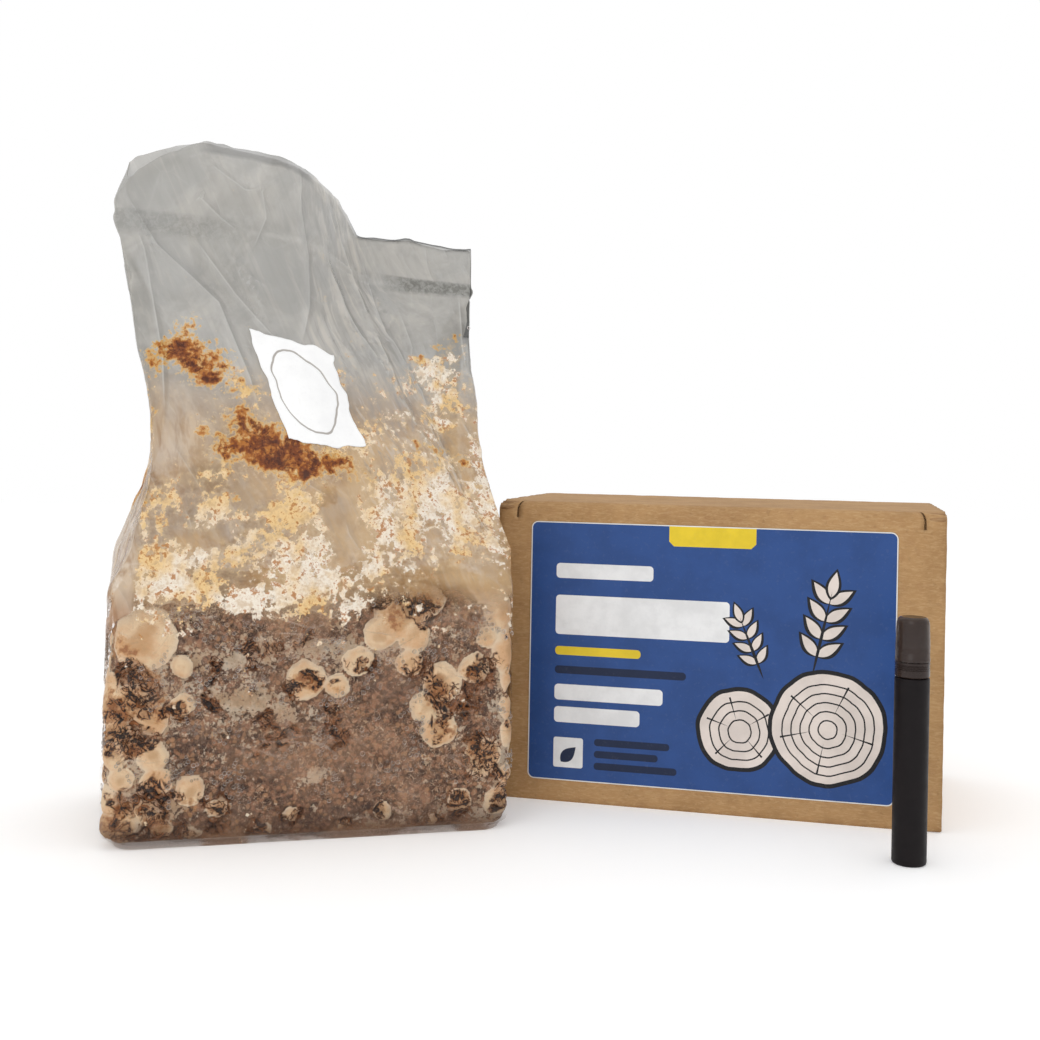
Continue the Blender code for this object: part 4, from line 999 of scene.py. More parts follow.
def makeFilm(blockMesh):
    rows = bag["rowsBetweenStations"]
    stations = np.concatenate([np.linspace(k, k + 1, n, endpoint=False) for k, n in enumerate(rows)] + [[len(rows)]])
    rings = bagRings(stations)
    count = rings.shape[1]
    normals = gridNormals(rings).reshape(-1, 3)
    points = rings.reshape(-1, 3)
    station = np.repeat(stations, count)
    front, side, back = bag["frontSteps"], bag["sideSteps"], bag["backSteps"]
    sides = np.concatenate([np.zeros(front), np.linspace(0, 1, side), np.ones(back), np.linspace(1, 0, side)])
    side = np.tile(sides, len(stations))
    marks = filmMarks(points, station, side, count)
    points = points + filmShift(points, normals, station, side)
    blockTree = BVHTree.FromPolygons(*blockMesh)
    points = points + clung(points, gridNormals(points.reshape(rings.shape)).reshape(-1, 3), count, blockTree)
    ragged = 0.9 * grain(points, 9, 2, 31.0) + np.interp(points[:, 0], *zip(*bag["lipEdge"]))
    points[:, 2] += eased(station, 8.8, 10) * ragged
    points[:, 0] += 4.5 * eased(station, 8.3, 10) * (1 - eased(points[:, 0], -98, -86))
    points[:, 2] = np.clip(points[:, 2], 0, bag["tallest"])
    faces = gridFaces(len(stations), count, True)
    # the foot is closed by two shrinking rings and a middle point
    foot, first = points[:count], 0
    for share in bag["footRings"]:
        start = len(points)
        points = np.concatenate([points, foot * np.array((share, share, 0))])
        faces += [(first + (i + 1) % count, first + i, start + i, start + (i + 1) % count) for i in range(count)]
        first = start
    start = len(points) - count
    points = np.concatenate([points, [[0, 0, 0]]])
    faces += [(start + (i + 1) % count, start + i, len(points) - 1) for i in range(count)]
    extra = len(points) - len(station)
    marks = {name: np.concatenate([values, np.full(extra, values[0])]) for name, values in marks.items()}
    return meshPiece("growBagFilm", points, faces, bagPlace, marks)


def filmFinish():
    material, tree, shader = finishOf("growBagFilm")
    where = objectPlace(tree)
    height = nodeIn(tree, "ShaderNodeSeparateXYZ", {0: where}).outputs[2]
    haze = ranged(tree, noiseIn(tree, where, 34, 4, 0.55, 0.5), 0.36, 0.64)
    fan = grouped(tree, crumple, Size=0.012, Lean=0.42, Length=3.4, Line=0.045)
    loose = grouped(tree, crumple, Size=0.024, Lean=0.7, Length=1.7, Line=0.03)
    flatWise = grouped(tree, crumple, Size=0.010, Lean=1.42, Length=3.0, Line=0.06)
    upper = ranged(tree, height, 0.10, 0.125)
    # painted highlight: the crumpled film's ridge lines are drawn pale
    ridgeHighlight = times(tree, most(tree, fan["Ridge"], loose["Ridge"]), 0.22)
    ridgeHighlight = blended(tree, upper, times(tree, flatWise["Ridge"], 0.6), ridgeHighlight)
    ridgeHighlight = times(tree, ridgeHighlight, ranged(tree, haze, 0, 1, 0.4, 1.0, False))
    creaseSide, crease = markOf(tree, "creaseSide"), markOf(tree, "crease")
    creaseGap = maths(tree, "ABSOLUTE", creaseSide)
    # painted light on the creases: a pale line along each crease and on one side of it, painted shade on the other
    # side
    line = times(tree, ranged(tree, creaseGap, 0.1, 0.7, 1.0, 0.0), ranged(tree, crease, 0.1, 0.8))
    near = times(tree, ranged(tree, creaseGap, 0.4, 5.0, 1.0, 0.0), crease)
    shadedFlank = times(tree, ranged(tree, creaseSide, -0.6, 0.6), near)
    glow = times(tree, ranged(tree, creaseSide, -0.4, 0.4, 0.45, 0.0), near)
    ridgeHighlight = most(tree, ridgeHighlight, most(tree, line, times(tree, glow, upper)))
    stripe = grouped(tree, streaks, Width=0.0042, Lean=0.42, Length=22.0)["Value"]
    fanned = ranged(tree, markOf(tree, "fan"), 0, 1, 0.3, 1.0, False)
    wide = noiseIn(tree, where, 16, 3, 0.5, 0.8)
    # clean film: grey above, tan where the block's moisture is, brownish over the block
    grey = mixed(tree, haze, filmTones["hazeLow"], filmTones["hazeHigh"])
    tan = mixed(tree, haze, filmTones["tanLow"], filmTones["tanHigh"])
    tan = mixed(tree, ranged(tree, wide, 0.45, 0.62, 0.0, 0.45), tan, (0.62, 0.45, 0.27))
    clear = mixed(tree, ranged(tree, height, 0.185, 0.235), tan, grey)
    clear = mixed(tree, times(tree, ranged(tree, wide, 0.36, 0.5, 0.35, 0.0), upper), clear, (0.27, 0.265, 0.24))
    # painted light and shade: pale and dark stripes along the fan's pleats
    clear = mixed(tree, times(tree, fanned, ranged(tree, stripe, 0.52, 0.66, 0.0, 0.45)), clear, (0.72, 0.66, 0.58))
    clear = mixed(tree, times(tree, fanned, ranged(tree, stripe, 0.34, 0.47, 0.5, 0.0)), clear, filmTones["shade"])
    sideStripe = grouped(tree, streaks, Width=0.005, Lean=0.14, Length=9.0)["Value"]
    sideTone = mixed(tree, ranged(tree, sideStripe, 0.36, 0.6), filmTones["beigeDark"], filmTones["beige"])
    clear = mixed(tree, times(tree, markOf(tree, "gusset"), 0.85), clear, sideTone)
    clear = mixed(tree, upper, mixed(tree, haze, filmTones["lowDark"], filmTones["lowLight"]), clear)
    # painted highlight on ridges and creases, then painted shade on the creases' dark sides
    color = mixed(tree, times(tree, ridgeHighlight, 0.42), clear, filmTones["crease"])
    color = mixed(tree, times(tree, shadedFlank, 0.42), color, filmTones["shade"])
    # white to cream growth on the film, with brown flecks and a browned rim
    torn = times(tree, times(tree, markOf(tree, "fan"), ranged(tree, stripe, 0.4, 0.6)), 0.14)
    stain = grouped(tree, raggedMask, Amount=markOf(tree, "stain"), Scale=78.0, Lace=1.0, Breakup=1.15,
                    Edge=0.08, Bend=0.9)
    cover = grouped(tree, raggedMask, Amount=plus(tree, markOf(tree, "cover"), torn), Scale=62.0,
                    Lace=1.0, Breakup=1.3, Edge=0.018, Bend=0.5)
    # near its rim the growth is a lace of round holes
    bent = nodeIn(tree, "ShaderNodeTexNoise", {"Vector": where, "Scale": 170.0, "Detail": 2.0}).outputs["Color"]
    bent = outOf(tree, "ShaderNodeVectorMath", {0: bent, 1: (0.007, 0.007, 0.007), 2: where},
                 operation="MULTIPLY_ADD")
    cell = nodeIn(tree, "ShaderNodeTexVoronoi", {"Vector": bent, "Scale": 230.0}).outputs["Distance"]
    hole = ranged(tree, cover["Depth"], -0.05, 0.20, 0.62, 0.0, False)
    solid = ranged(tree, minus(tree, cell, hole), -0.06, 0.05)
    body = ranged(tree, cover["Depth"], -0.07, -0.02)
    grownOn = times(tree, body, solid)
    veil = ranged(tree, cover["Depth"], -0.20, 0.0, 0.0, 0.55, False)
    color = mixed(tree, veil, color, filmTones["veil"])
    tint = ranged(tree, noiseIn(tree, where, 48, 4, 0.6), 0.38, 0.60)
    tint = times(tree, tint, markOf(tree, "pale"))
    mould = mixed(tree, tint, filmTones["mouldCream"], filmTones["mouldWhite"])
    thin = ranged(tree, cover["Depth"], -0.05, 0.14, 0.74, 0.97, False)
    rust, fine = noiseIn(tree, where, 130, 5, 0.7), noiseIn(tree, where, 430, 4, 0.65)
    rim = times(tree, ranged(tree, cover["Depth"], -0.05, 0.05, 1.0, 0.0), ranged(tree, rust, 0.46, 0.54))
    flecks = times(tree, ranged(tree, rust, 0.45, 0.54), ranged(tree, fine, 0.51, 0.58))
    flecks = most(tree, rim, most(tree, flecks, ranged(tree, rust, 0.61, 0.65)))
    deeper = ranged(tree, times(tree, plus(tree, rust, fine), 0.5), 0.40, 0.52, 0.55, 0.0)
    mould = mixed(tree, deeper, mould, (0.54, 0.35, 0.18))
    mould = mixed(tree, ranged(tree, stain["Depth"], -0.26, -0.04, 0.0, 0.7), mould, (0.74, 0.49, 0.19))
    mould = mixed(tree, times(tree, flecks, 0.85), mould, filmTones["fleck"])
    color = mixed(tree, grownOn, color, mould)
    # stains deepen from cream through orange to nearly black
    soaked = filmTones["stain"][0][1]
    for (low, _), (high, tone) in zip(filmTones["stain"], filmTones["stain"][1:]):
        soaked = mixed(tree, ranged(tree, stain["Depth"], low, high), soaked, tone)
    veins = fromHalf(tree, noiseIn(tree, where, 110, 4, 0.6, 1.2))
    veins = times(tree, ranged(tree, veins, 0.006, 0.035, 0.75, 0.0), ranged(tree, stain["Depth"], 0.08, 0.3))
    soaked = mixed(tree, veins, soaked, filmTones["stain"][4][1])
    color = mixed(tree, stain["Mask"], color, soaked)
    seal = markOf(tree, "seal")
    sealTone = mixed(tree, ranged(tree, noiseIn(tree, where, 330, 5, 0.7, 0.8), 0.4, 0.6),
                     filmTones["sealDark"], filmTones["sealLight"])
    color = mixed(tree, times(tree, seal, 0.8), color, sealTone)
    color = mixed(tree, times(tree, markOf(tree, "lip"), 0.8), color, (0.21, 0.207, 0.195))
    color = mixed(tree, markOf(tree, "rim"), color, (0.07, 0.07, 0.065))
    # see-through: clean film is milky, thin over the block and clear where it touches a nodule
    fog = times(tree, ranged(tree, haze, 0, 1, 0.0, 0.3), ranged(tree, wide, 0.4, 0.58, 0.1, 0.9))
    # painted contact shade: the film is darkened and made less clear in its last millimetres above the floor
    footShade = times(tree, ranged(tree, height, 0.001, 0.008, 0.7, 0.0), ranged(tree, haze, 0, 1, 0.35, 1.0))
    color = mixed(tree, footShade, color, (0.13, 0.065, 0.038))
    alpha = blended(tree, upper, fog, ranged(tree, haze, 0, 1, 0.66, 0.78))
    alpha = most(tree, alpha, times(tree, markOf(tree, "gusset"), 0.8))
    alpha = times(tree, alpha, ranged(tree, markOf(tree, "touch"), 0.1, 0.8, 1.0, 0.2))
    alpha = plus(tree, alpha, times(tree, ridgeHighlight, ranged(tree, height, 0.10, 0.125, 0.45, 0.18)))
    thick = ranged(tree, stain["Depth"], 0.0, 0.25, 0.7, 0.96, False)
    alpha = most(tree, alpha, times(tree, grownOn, thin), times(tree, stain["Mask"], thick),
                 times(tree, most(tree, seal, markOf(tree, "rim")), 0.88), footShade)
    # relief: facets and ridges of the film, and the rough growth
    folds = blended(tree, upper, flatWise["Height"], times(tree, fan["Height"], 1.6))
    tiny = noiseIn(tree, where, 460, 3, 0.6)
    grown = most(tree, grownOn, stain["Mask"])
    # a bump works its height out three times, so the relief reads the plain marks
    grownPlain = most(tree, ranged(tree, markOf(tree, "cover"), 0.3, 0.55),
                      ranged(tree, markOf(tree, "stain"), 0.3, 0.55))
    relief = plus(tree, times(tree, folds, 0.9), times(tree, tiny, times(tree, most(tree, grownPlain, seal), 0.35)))
    fold = times(tree, ranged(tree, creaseGap, 0.0, 2.5, 1.0, 0.0, False), crease)
    relief = plus(tree, relief, times(tree, fold, 0.8))
    rough = ranged(tree, grown, 0, 1, 0.2, 0.62, False)
    setFinish(tree, shader, color=color, rough=rough, alpha=alpha, normal=bumped(tree, relief, 1.3), specular=0.3)
    plainTone = mixed(tree, ranged(tree, height, 0.11, 0.22), (0.42, 0.28, 0.18), filmTones["hazeHigh"])
    showOnce(tree, shader, (0.42, 0.41, 0.40), (plainTone, ranged(tree, height, 0.10, 0.125, 0.25, 0.75)))
    return material


def dropletTree():        # beads of condensation on the inside of the film
    tree, given, put = geometryTree("droplets", {
        "Density": ("Float", 230000.0), "Radius": ("Float", 0.00056), "Flatness": ("Float", 0.5),
        "Seed": ("Int", 8), "Material": ("Material", None)})
    ball = outOf(tree, "GeometryNodeMeshUVSphere", {"Radius": given["Radius"], "Segments": 8, "Rings": 5})
    squash = outOf(tree, "ShaderNodeCombineXYZ", {0: 1.0, 1: 1.0, 2: given["Flatness"]})
    bead = outOf(tree, "GeometryNodeTransform", {"Geometry": ball, "Scale": squash})
    bead = outOf(tree, "GeometryNodeSetShadeSmooth", {"Geometry": bead})
    scattered(tree, given, put, bead, "beads", (0.5, 2.2), ((0, 0, -3.14), (0, 0, 3.14)))
    return tree


def dropletFinish():
    material, tree, shader = finishOf("droplet")
    shade = ranged(tree, noiseIn(tree, objectPlace(tree), 120, 2), 0.4, 0.6)
    rim = nodeIn(tree, "ShaderNodeLayerWeight", {"Blend": 0.35}).outputs["Facing"]
    # painted reflection: each bead is pale to white towards its edges, where it is seen slantwise
    tone = mixed(tree, shade, (0.80, 0.74, 0.67), (1.0, 0.98, 0.96))
    tone = mixed(tree, ranged(tree, rim, 0.12, 0.45), (0.30, 0.21, 0.16), tone)
    setFinish(tree, shader, color=tone, rough=0.05, alpha=ranged(tree, rim, 0.1, 0.6, 0.12, 0.9), ior=1.45)
    return material


filmSheet = makeFilm(blockMesh)
beadHost = filmSheet.copy()
beadHost.data = insetMesh(filmSheet.data, bag["beadDepth"])        # the beads hang just inside the film
beadFinish = dropletFinish()
droplets = grownFrom(beadHost, "droplets", dropletTree(), {"Material": beadFinish})
bpy.data.objects.remove(beadHost)
filmPiece = dressed(thickened(filmSheet, bag["film"]), filmFinish(), "grow_bag")
dressed(droplets, beadFinish, "grow_bag")
print("stage: film", len(filmPiece.data.polygons), "faces, droplets", len(droplets.data.polygons))


# The filter patch, welded to the front film

patch = {
    "corners": ((0.356, 5.96), (0.568, 5.78), (0.440, 4.98), (0.596, 4.84)),        # tl, tr, bl, br
    "steps": 84, "lift": 0.45, "thickness": 0.4, "ring": 0.76, "ringWidth": 0.035, "wander": 0.018,
    "waves": 0.35, "bulge": 0.5, "curls": (1.3, 0.7), "weldDepth": 0.42,
}


def makePatch():
    steps = patch["steps"]
    line = np.linspace(0, 1, steps + 1)
    u, v = (grid.ravel() for grid in np.meshgrid(line, line))
    edgeA = grain(np.stack([u * 0, v * 4, v * 0], 1), 1.0, 3, 2.0)
    edgeB = grain(np.stack([u * 4, u * 0, v * 0], 1), 1.0, 3, 7.0)
    uu = u + patch["wander"] * 2 * edgeA
    vv = v + patch["wander"] * 2 * edgeB - 0.07 * np.exp(-((u - 1) ** 2 + (v - 1) ** 2) / 0.012)
    corners = [np.array(corner) for corner in patch["corners"]]
    top = (1 - uu)[:, None] * corners[0] + uu[:, None] * corners[1]
    bottom = (1 - uu)[:, None] * corners[2] + uu[:, None] * corners[3]
    places = bottom + (top - bottom) * vv[:, None]
    base = frontPoints(places[:, 0], places[:, 1])
    rings = base.reshape(steps + 1, steps + 1, 3)
    normals = np.cross(np.gradient(rings, axis=1), np.gradient(rings, axis=0)).reshape(-1, 3)
    normals /= np.linalg.norm(normals, axis=1, keepdims=True)
    away = np.hypot(u - 0.5, v - 0.5) / (0.5 * patch["ring"])
    weld = np.exp(-((away - 1) / patch["ringWidth"]) ** 2)
    waves = patch["waves"] * grain(base, 15, 3, 17.0) + patch["bulge"] * (1 - eased(away, 0.2, 0.9))
    right, left = patch["curls"]
    curl = right * np.exp(-((u - 1) ** 2 + v ** 2) / 0.02) + left * np.exp(-(u ** 2 + (v - 1) ** 2) / 0.015)
    points = base + normals * (patch["lift"] + patch["thickness"] + waves + curl - patch["weldDepth"] * weld)[:, None]
    piece = meshPiece("filterPatch", points, gridFaces(steps + 1, steps + 1), bagPlace, {"weld": weld})
    return thickened(piece, patch["thickness"])


def patchFinish():
    material, tree, shader = finishOf("filterPatch")
    where = objectPlace(tree)
    tone = mottled(tree, (0.97, 0.97, 0.965), (0.92, 0.92, 0.92), (0.84, 0.84, 0.83), 60.0, 0.25)
    color = mixed(tree, ranged(tree, markOf(tree, "weld"), 0.35, 0.8), tone, (0.42, 0.39, 0.36))
    fibres = noiseIn(tree, where, 1500, 4, 0.7, 1.5)
    soft = noiseIn(tree, where, 160, 3, 0.5)
    height = plus(tree, times(tree, fibres, 0.25), soft)
    setFinish(tree, shader, color=color, rough=0.72, normal=bumped(tree, height, 0.25), sheen=0.15)
    return material


patchPiece = dressed(makePatch(), patchFinish(), "filter_patch")
print("stage: filter patch", len(patchPiece.data.polygons))


# The carton: two liners and the fluting between them, wrapped round, with side walls and a tuck

board = {
    "liner": 0.45, "flutePitch": 6.3, "fluteSheet": 0.3, "seam": 0.8, "foldRadius": 5.0, "step": 3.3,
    "foldSteps": 14, "acrossSteps": 66, "dent": 0.5, "sideRecess": 0.7, "tuck": 42.0, "tuckClear": 2.0,
    "crush": 1.6, "crushGrain": 0.8, "crushBack": 0.9, "softness": 0.16, "tear": 0.9, "tearWave": 0.8,
    "slit": {"fromEnd": 9.0, "start": 0.8, "width": 1.3, "slant": 4.0, "length": 8.0},
}


def wrapPath(inset):        # (y, z) up the lid, over the fold, back along the top, down and under
    high, deep = carton["height"] - inset, carton["depth"] - inset
    radius = board["foldRadius"] - inset
    middle = (board["foldRadius"], carton["height"] - board["foldRadius"])
    path = [(inset, z) for z in np.arange(0, middle[1], board["step"])]
    for i in range(board["foldSteps"] + 1):
        angle = math.pi * (1 - 0.5 * i / board["foldSteps"])
        path.append((middle[0] + radius * math.cos(angle), middle[1] + radius * math.sin(angle)))
    path += [(y, high) for y in np.arange(middle[0] + board["step"], deep - 1.2, board["step"])]
    path += [(deep - 0.8, high), (deep - 0.2, high - 0.2), (deep, high - 0.8)]
    path += [(deep, z) for z in np.arange(high - board["step"], 1.2 + inset, -board["step"])]
    path += [(deep, inset + 0.8), (deep - 0.2, inset + 0.2), (deep - 0.8, inset)]
    stop = carton["board"] + board["seam"]
    path += [(y, inset) for y in np.arange(deep - board["step"], stop + 1, -board["step"])] + [(stop, inset)]
    return np.array(path)


def makeLiner(name, inset):        # one liner of the wrapped board, as a thin closed sheet
    path = wrapPath(inset)
    across = np.linspace(-carton["width"], 0, board["acrossSteps"] + 1)
    rows, columns = len(path), len(across)
    points = np.stack([np.tile(across, rows), np.repeat(path[:, 0], columns), np.repeat(path[:, 1], columns)], 1)
    fromEnd = np.minimum(-points[:, 0], points[:, 0] + carton["width"])
    onTop = eased(points[:, 2], carton["height"] - 8, carton["height"] - 1)
    crushed = onTop * (1 - eased(points[:, 1], 6, 16)) * (1 - eased(fromEnd, 4, 13))
    points[:, 2] -= crushed * (board["crush"] + board["crushGrain"] * grain(points, 5, 2, 4.0))
    points[:, 1] += crushed * board["crushBack"]
    soft = eased(points[:, 2], 151, 158) + eased(fromEnd, 3, 0)
    points += (soft * board["softness"])[:, None] * np.stack([grain(points, 7, 2, s) for s in (1.0, 2.0, 3.0)], 1)
    torn = (points[:, 2] < 1) * (points[:, 1] < 2) * eased(points[:, 0], -17, -14)
    points[:, 2] += torn * (board["tear"] + board["tearWave"] * np.sin(points[:, 0] * 1.9))
    piece = meshPiece(name, points, gridFaces(rows, columns), Matrix.Identity(4), sharp=40)
    return thickened(piece, board["liner"])


def fluteTree():        # a wave that follows the wrap's middle line, drawn out across the carton
    tree, given, put = geometryTree("flutes", {
        "Pitch": ("Float", 0.0063), "Rise": ("Float", 0.0009), "Width": ("Float", 0.2),
        "Material": ("Material", None)})
    path = outOf(tree, "GeometryNodeMeshToCurve", {0: given["Geometry"]})
    step = maths(tree, "DIVIDE", given["Pitch"], 10.0)
    fine = outOf(tree, "GeometryNodeResampleCurve", {"Curve": path, "Length": step}, mode="LENGTH")
    along = nodeIn(tree, "GeometryNodeSplineParameter").outputs["Length"]
    angle = times(tree, maths(tree, "DIVIDE", along, given["Pitch"]), 2 * math.pi)
    swing = times(tree, maths(tree, "SINE", angle), given["Rise"])
    tangent = outOf(tree, "GeometryNodeInputTangent")
    normal = outOf(tree, "ShaderNodeVectorMath", {0: tangent, 1: (1, 0, 0)}, operation="CROSS_PRODUCT")
    offset = outOf(tree, "ShaderNodeVectorMath", {0: normal, "Scale": swing}, operation="SCALE")
    wave = outOf(tree, "GeometryNodeSetPosition", {"Geometry": fine, "Offset": offset})
    edges = outOf(tree, "GeometryNodeCurveToMesh", {"Curve": wave})
    reach = outOf(tree, "ShaderNodeCombineXYZ", {0: given["Width"]})
    sheet = outOf(tree, "GeometryNodeExtrudeMesh", {"Mesh": edges, "Offset": reach}, mode="EDGES")
    real = outOf(tree, "GeometryNodeRealizeInstances", {0: sheet})
    finish = nodeIn(tree, "GeometryNodeSetMaterial", {"Geometry": real, "Material": given["Material"]})
    plug(tree, put["Geometry"], finish.outputs[0])
    return tree


def makeFlutes(material):
    middle = wrapPath(carton["board"] / 2)
    points = [(-carton["width"] + 0.5, y, z) for y, z in middle]
    mesh = bpy.data.meshes.new("wrapLine")
    mesh.from_pydata((np.array(points) * mm).tolist(), [(i, i + 1) for i in range(len(points) - 1)], [])
    host = bpy.data.objects.new("wrapLine", mesh)
    rise = carton["board"] / 2 - board["liner"] - board["fluteSheet"] / 2 - 0.06
    flutes = grownFrom(host, "cartonFlutes", fluteTree(), {
        "Pitch": board["flutePitch"] * mm, "Rise": rise * mm, "Width": (carton["width"] - 1.0) * mm,
        "Material": material})
    bpy.data.objects.remove(host)
    return thickened(flutes, board["fluteSheet"], 0)


def slitCutter(end):        # end is -1 at the left of the fold and 1 at the right
    slit = board["slit"]
    edge = 0 if end > 0 else -carton["width"]
    plan = [(slit["fromEnd"], slit["start"]), (slit["fromEnd"] + slit["width"], slit["start"]),
            (slit["fromEnd"] + slit["width"] + slit["slant"], slit["start"] + slit["length"]),
            (slit["fromEnd"] + slit["slant"], slit["start"] + slit["length"])]
    points = [(edge - end * x, y - 2, z) for z in (carton["height"] - 9, carton["height"] + 2) for x, y in plan]
    faces = [(0, 1, 2, 3), (7, 6, 5, 4)] + [(i, (i + 1) % 4, 4 + (i + 1) % 4, 4 + i) for i in range(4)]
    cutter = meshPiece("slitCutter", points, faces, Matrix.Identity(4))
    faceOutwards(cutter)
    return cutter


def withSlits(piece):
    for end in (-1, 1):
        cutter = slitCutter(end)
        cut = piece.modifiers.new("slit", "BOOLEAN")
        cut.operation = "DIFFERENCE"
        cut.object = cutter
        settled(piece)
        bpy.data.objects.remove(cutter)
    return piece


def makeSlab(name, low, high, bevel):        # a board panel with soft edges
    mesh = bmesh.new()
    bmesh.ops.create_cube(mesh, size=1.0)
    low, high = np.array(low, float), np.array(high, float)
    for vertex in mesh.verts:
        vertex.co = Vector((low + (np.array(vertex.co) + 0.5) * (high - low)) * mm)
    bmesh.ops.bevel(mesh, geom=mesh.edges[:], offset=bevel * mm, segments=3, profile=0.5, affect="EDGES")
    wide = [edge for edge in mesh.edges if edge.calc_length() > 20 * mm]
    bmesh.ops.subdivide_edges(mesh, edges=wide, cuts=24, use_grid_fill=True)
    data = bpy.data.meshes.new(name)
    mesh.to_mesh(data)
    mesh.free()
    data.shade_smooth()
    data.set_sharp_from_angle(angle=math.radians(35))
    return linked(name, data)


def kraftFinish(name, light, dark):
    material, tree, shader = finishOf(name)
    where = objectPlace(tree)
    tone = mottled(tree, light, dark, (0.20, 0.10, 0.045), 42.0, 0.22)
    turn = outOf(tree, "ShaderNodeMapping", {"Vector": where, "Rotation": (0, 0, -cartonTurn)})
    stretch = outOf(tree, "ShaderNodeMapping", {"Vector": turn, "Scale": (0.25, 1.0, 1.0)})
    fibres = noiseIn(tree, stretch, 900, 5, 0.7, 0.8)
    patches = noiseIn(tree, where, 160, 3, 0.6)
    tone = layered(tree, tone, (fibres, (0.42, 0.7, 0.0, 0.45), (0.62, 0.42, 0.22)),
                   (patches, (0.5, 0.72, 0.0, 0.22), (0.33, 0.16, 0.07)))
    height = nodeIn(tree, "ShaderNodeSeparateXYZ", {0: turn}).outputs[2]
    washboard = maths(tree, "SINE", times(tree, height, 2 * math.pi / (board["flutePitch"] * mm)))
    relief = plus(tree, times(tree, washboard, 0.12), times(tree, fibres, 0.5))
    setFinish(tree, shader, color=tone, rough=0.78, normal=bumped(tree, relief, 0.22), specular=0.3)
    return material


kraft = kraftFinish("kraftBoard", (0.45, 0.262, 0.114), (0.375, 0.212, 0.088))
fluteKraft = kraftFinish("fluting", (0.36, 0.20, 0.09), (0.27, 0.145, 0.062))
side = {"y": (3.9, 123.4), "z": (1.6, 158.2), "thickness": 5.6}
cartonPieces = {
    "cartonOuterLiner": (withSlits(makeLiner("cartonOuterLiner", 0.0)), kraft),
    "cartonInnerLiner": (withSlits(makeLiner("cartonInnerLiner", carton["board"] - board["liner"])), kraft),
    "cartonFlutes": (withSlits(makeFlutes(fluteKraft)), fluteKraft),
}
for name, start in (("cartonLeftWall", board["sideRecess"] - carton["width"]),
                    ("cartonRightWall", -board["sideRecess"] - side["thickness"])):
    low = (start, side["y"][0], side["z"][0])
    high = (start + side["thickness"], side["y"][1], side["z"][1])
    cartonPieces[name] = (makeSlab(name, low, high, 1.1), kraft)
tuckLow = carton["board"] + board["seam"]
tuckInset = 6 + board["tuckClear"]
low, high = (tuckInset - carton["width"], 2.0, tuckLow), (-tuckInset, board["tuck"], tuckLow + 2.9)
cartonPieces["cartonTuck"] = (makeSlab("cartonTuck", low, high, 0.9), kraft)
for name, (piece, material) in cartonPieces.items():
    piece.data.transform(cartonPlace)
    dressed(piece, material, "mailer_carton")
print("stage: carton", {name: len(piece.data.polygons) for name, (piece, _) in cartonPieces.items()})


# The label: one flat printed sheet, its inks laid side by side in the same plane

label = {
    "width": 189.5, "height": 138.0, "fromRight": 23.2, "fromTop": 10.6, "corner": 3.5, "margin": 0.55,
    "front": -0.42, "back": -0.14,
    # blank bars: ink, x, z, width, height
    "bars": (("white", 14, 108, 52, 8), ("white", 14, 78, 92, 21), ("yellow", 14, 67, 46, 4.6),
             ("ink", 14, 57, 70, 4.2), ("white", 14, 43, 58, 8.4), ("white", 14, 31, 46, 8.4),
             ("ink", 36, 19.5, 40, 3.8), ("ink", 36, 13.2, 34, 3.8), ("ink", 36, 6.9, 44, 3.8)),
}


def roundedBox(x, z, width, height, radius, steps=6):
    outline = []
    for cx, cz, start in ((x + width - radius, z + height - radius, 0), (x + radius, z + height - radius, 90),
                          (x + radius, z + radius, 180), (x + width - radius, z + radius, 270)):
        for i in range(steps + 1):
            angle = math.radians(start + 90 * i / steps)
            outline.append((cx + radius * math.cos(angle), cz + radius * math.sin(angle)))
    return outline


def disc(x, z, radius, wobble=0.0, seed=0.0, steps=72):        # a ring of wood is never quite round
    outline = []
    for i in range(steps):
        angle = 2 * math.pi * i / steps
        spot = Vector((math.cos(angle), math.sin(angle), seed))
        reach = radius * (1 + wobble * noise.fractal(spot * 1.4, 1.0, 2.0, 3))
        outline.append((x + reach * math.cos(angle), z + reach * math.sin(angle)))
    return outline


def wedge(x, z, inner, outer, degrees, width):        # a drying crack in a log end
    angle = math.radians(degrees)
    along, aside = Vector((math.cos(angle), math.sin(angle))), Vector((-math.sin(angle), math.cos(angle)))
    centre = Vector((x, z))
    return [tuple(centre + along * inner), tuple(centre + along * outer - aside * width),
            tuple(centre + along * outer + aside * width)]


def leaf(x, z, length, width, degrees, steps=14):
    angle = math.radians(degrees)
    along, aside = Vector((math.cos(angle), math.sin(angle))), Vector((-math.sin(angle), math.cos(angle)))
    sides = []
    for sign, order in ((1, range(steps + 1)), (-1, range(steps - 1, 0, -1))):
        for i in order:
            t = i / steps
            bulge = sign * 0.5 * width * math.sin(math.pi * t ** 0.8)
            sides.append(tuple(Vector((x, z)) + along * length * t + aside * bulge))
    return sides


def logEnd(x, z, radius, seed):        # bark, pale wood, growth rings and a few cracks
    shapes = [("black", disc(x, z, radius, 0.05, seed)), ("cream", disc(x, z, radius - 2.2, 0.05, seed))]
    reach = radius - 6.5
    while reach > 3:
        shapes.append(("black", disc(x + 0.4, z - 0.6, reach, 0.06, seed)))
        shapes.append(("cream", disc(x + 0.4, z - 0.6, reach - 0.75, 0.06, seed)))
        reach -= 4.6
    for degrees in (20, 95, 150, 215, 300):
        shapes.append(("black", wedge(x, z, 0.25 * radius, 0.8 * radius, degrees + 40 * seed, 0.5)))
    return shapes


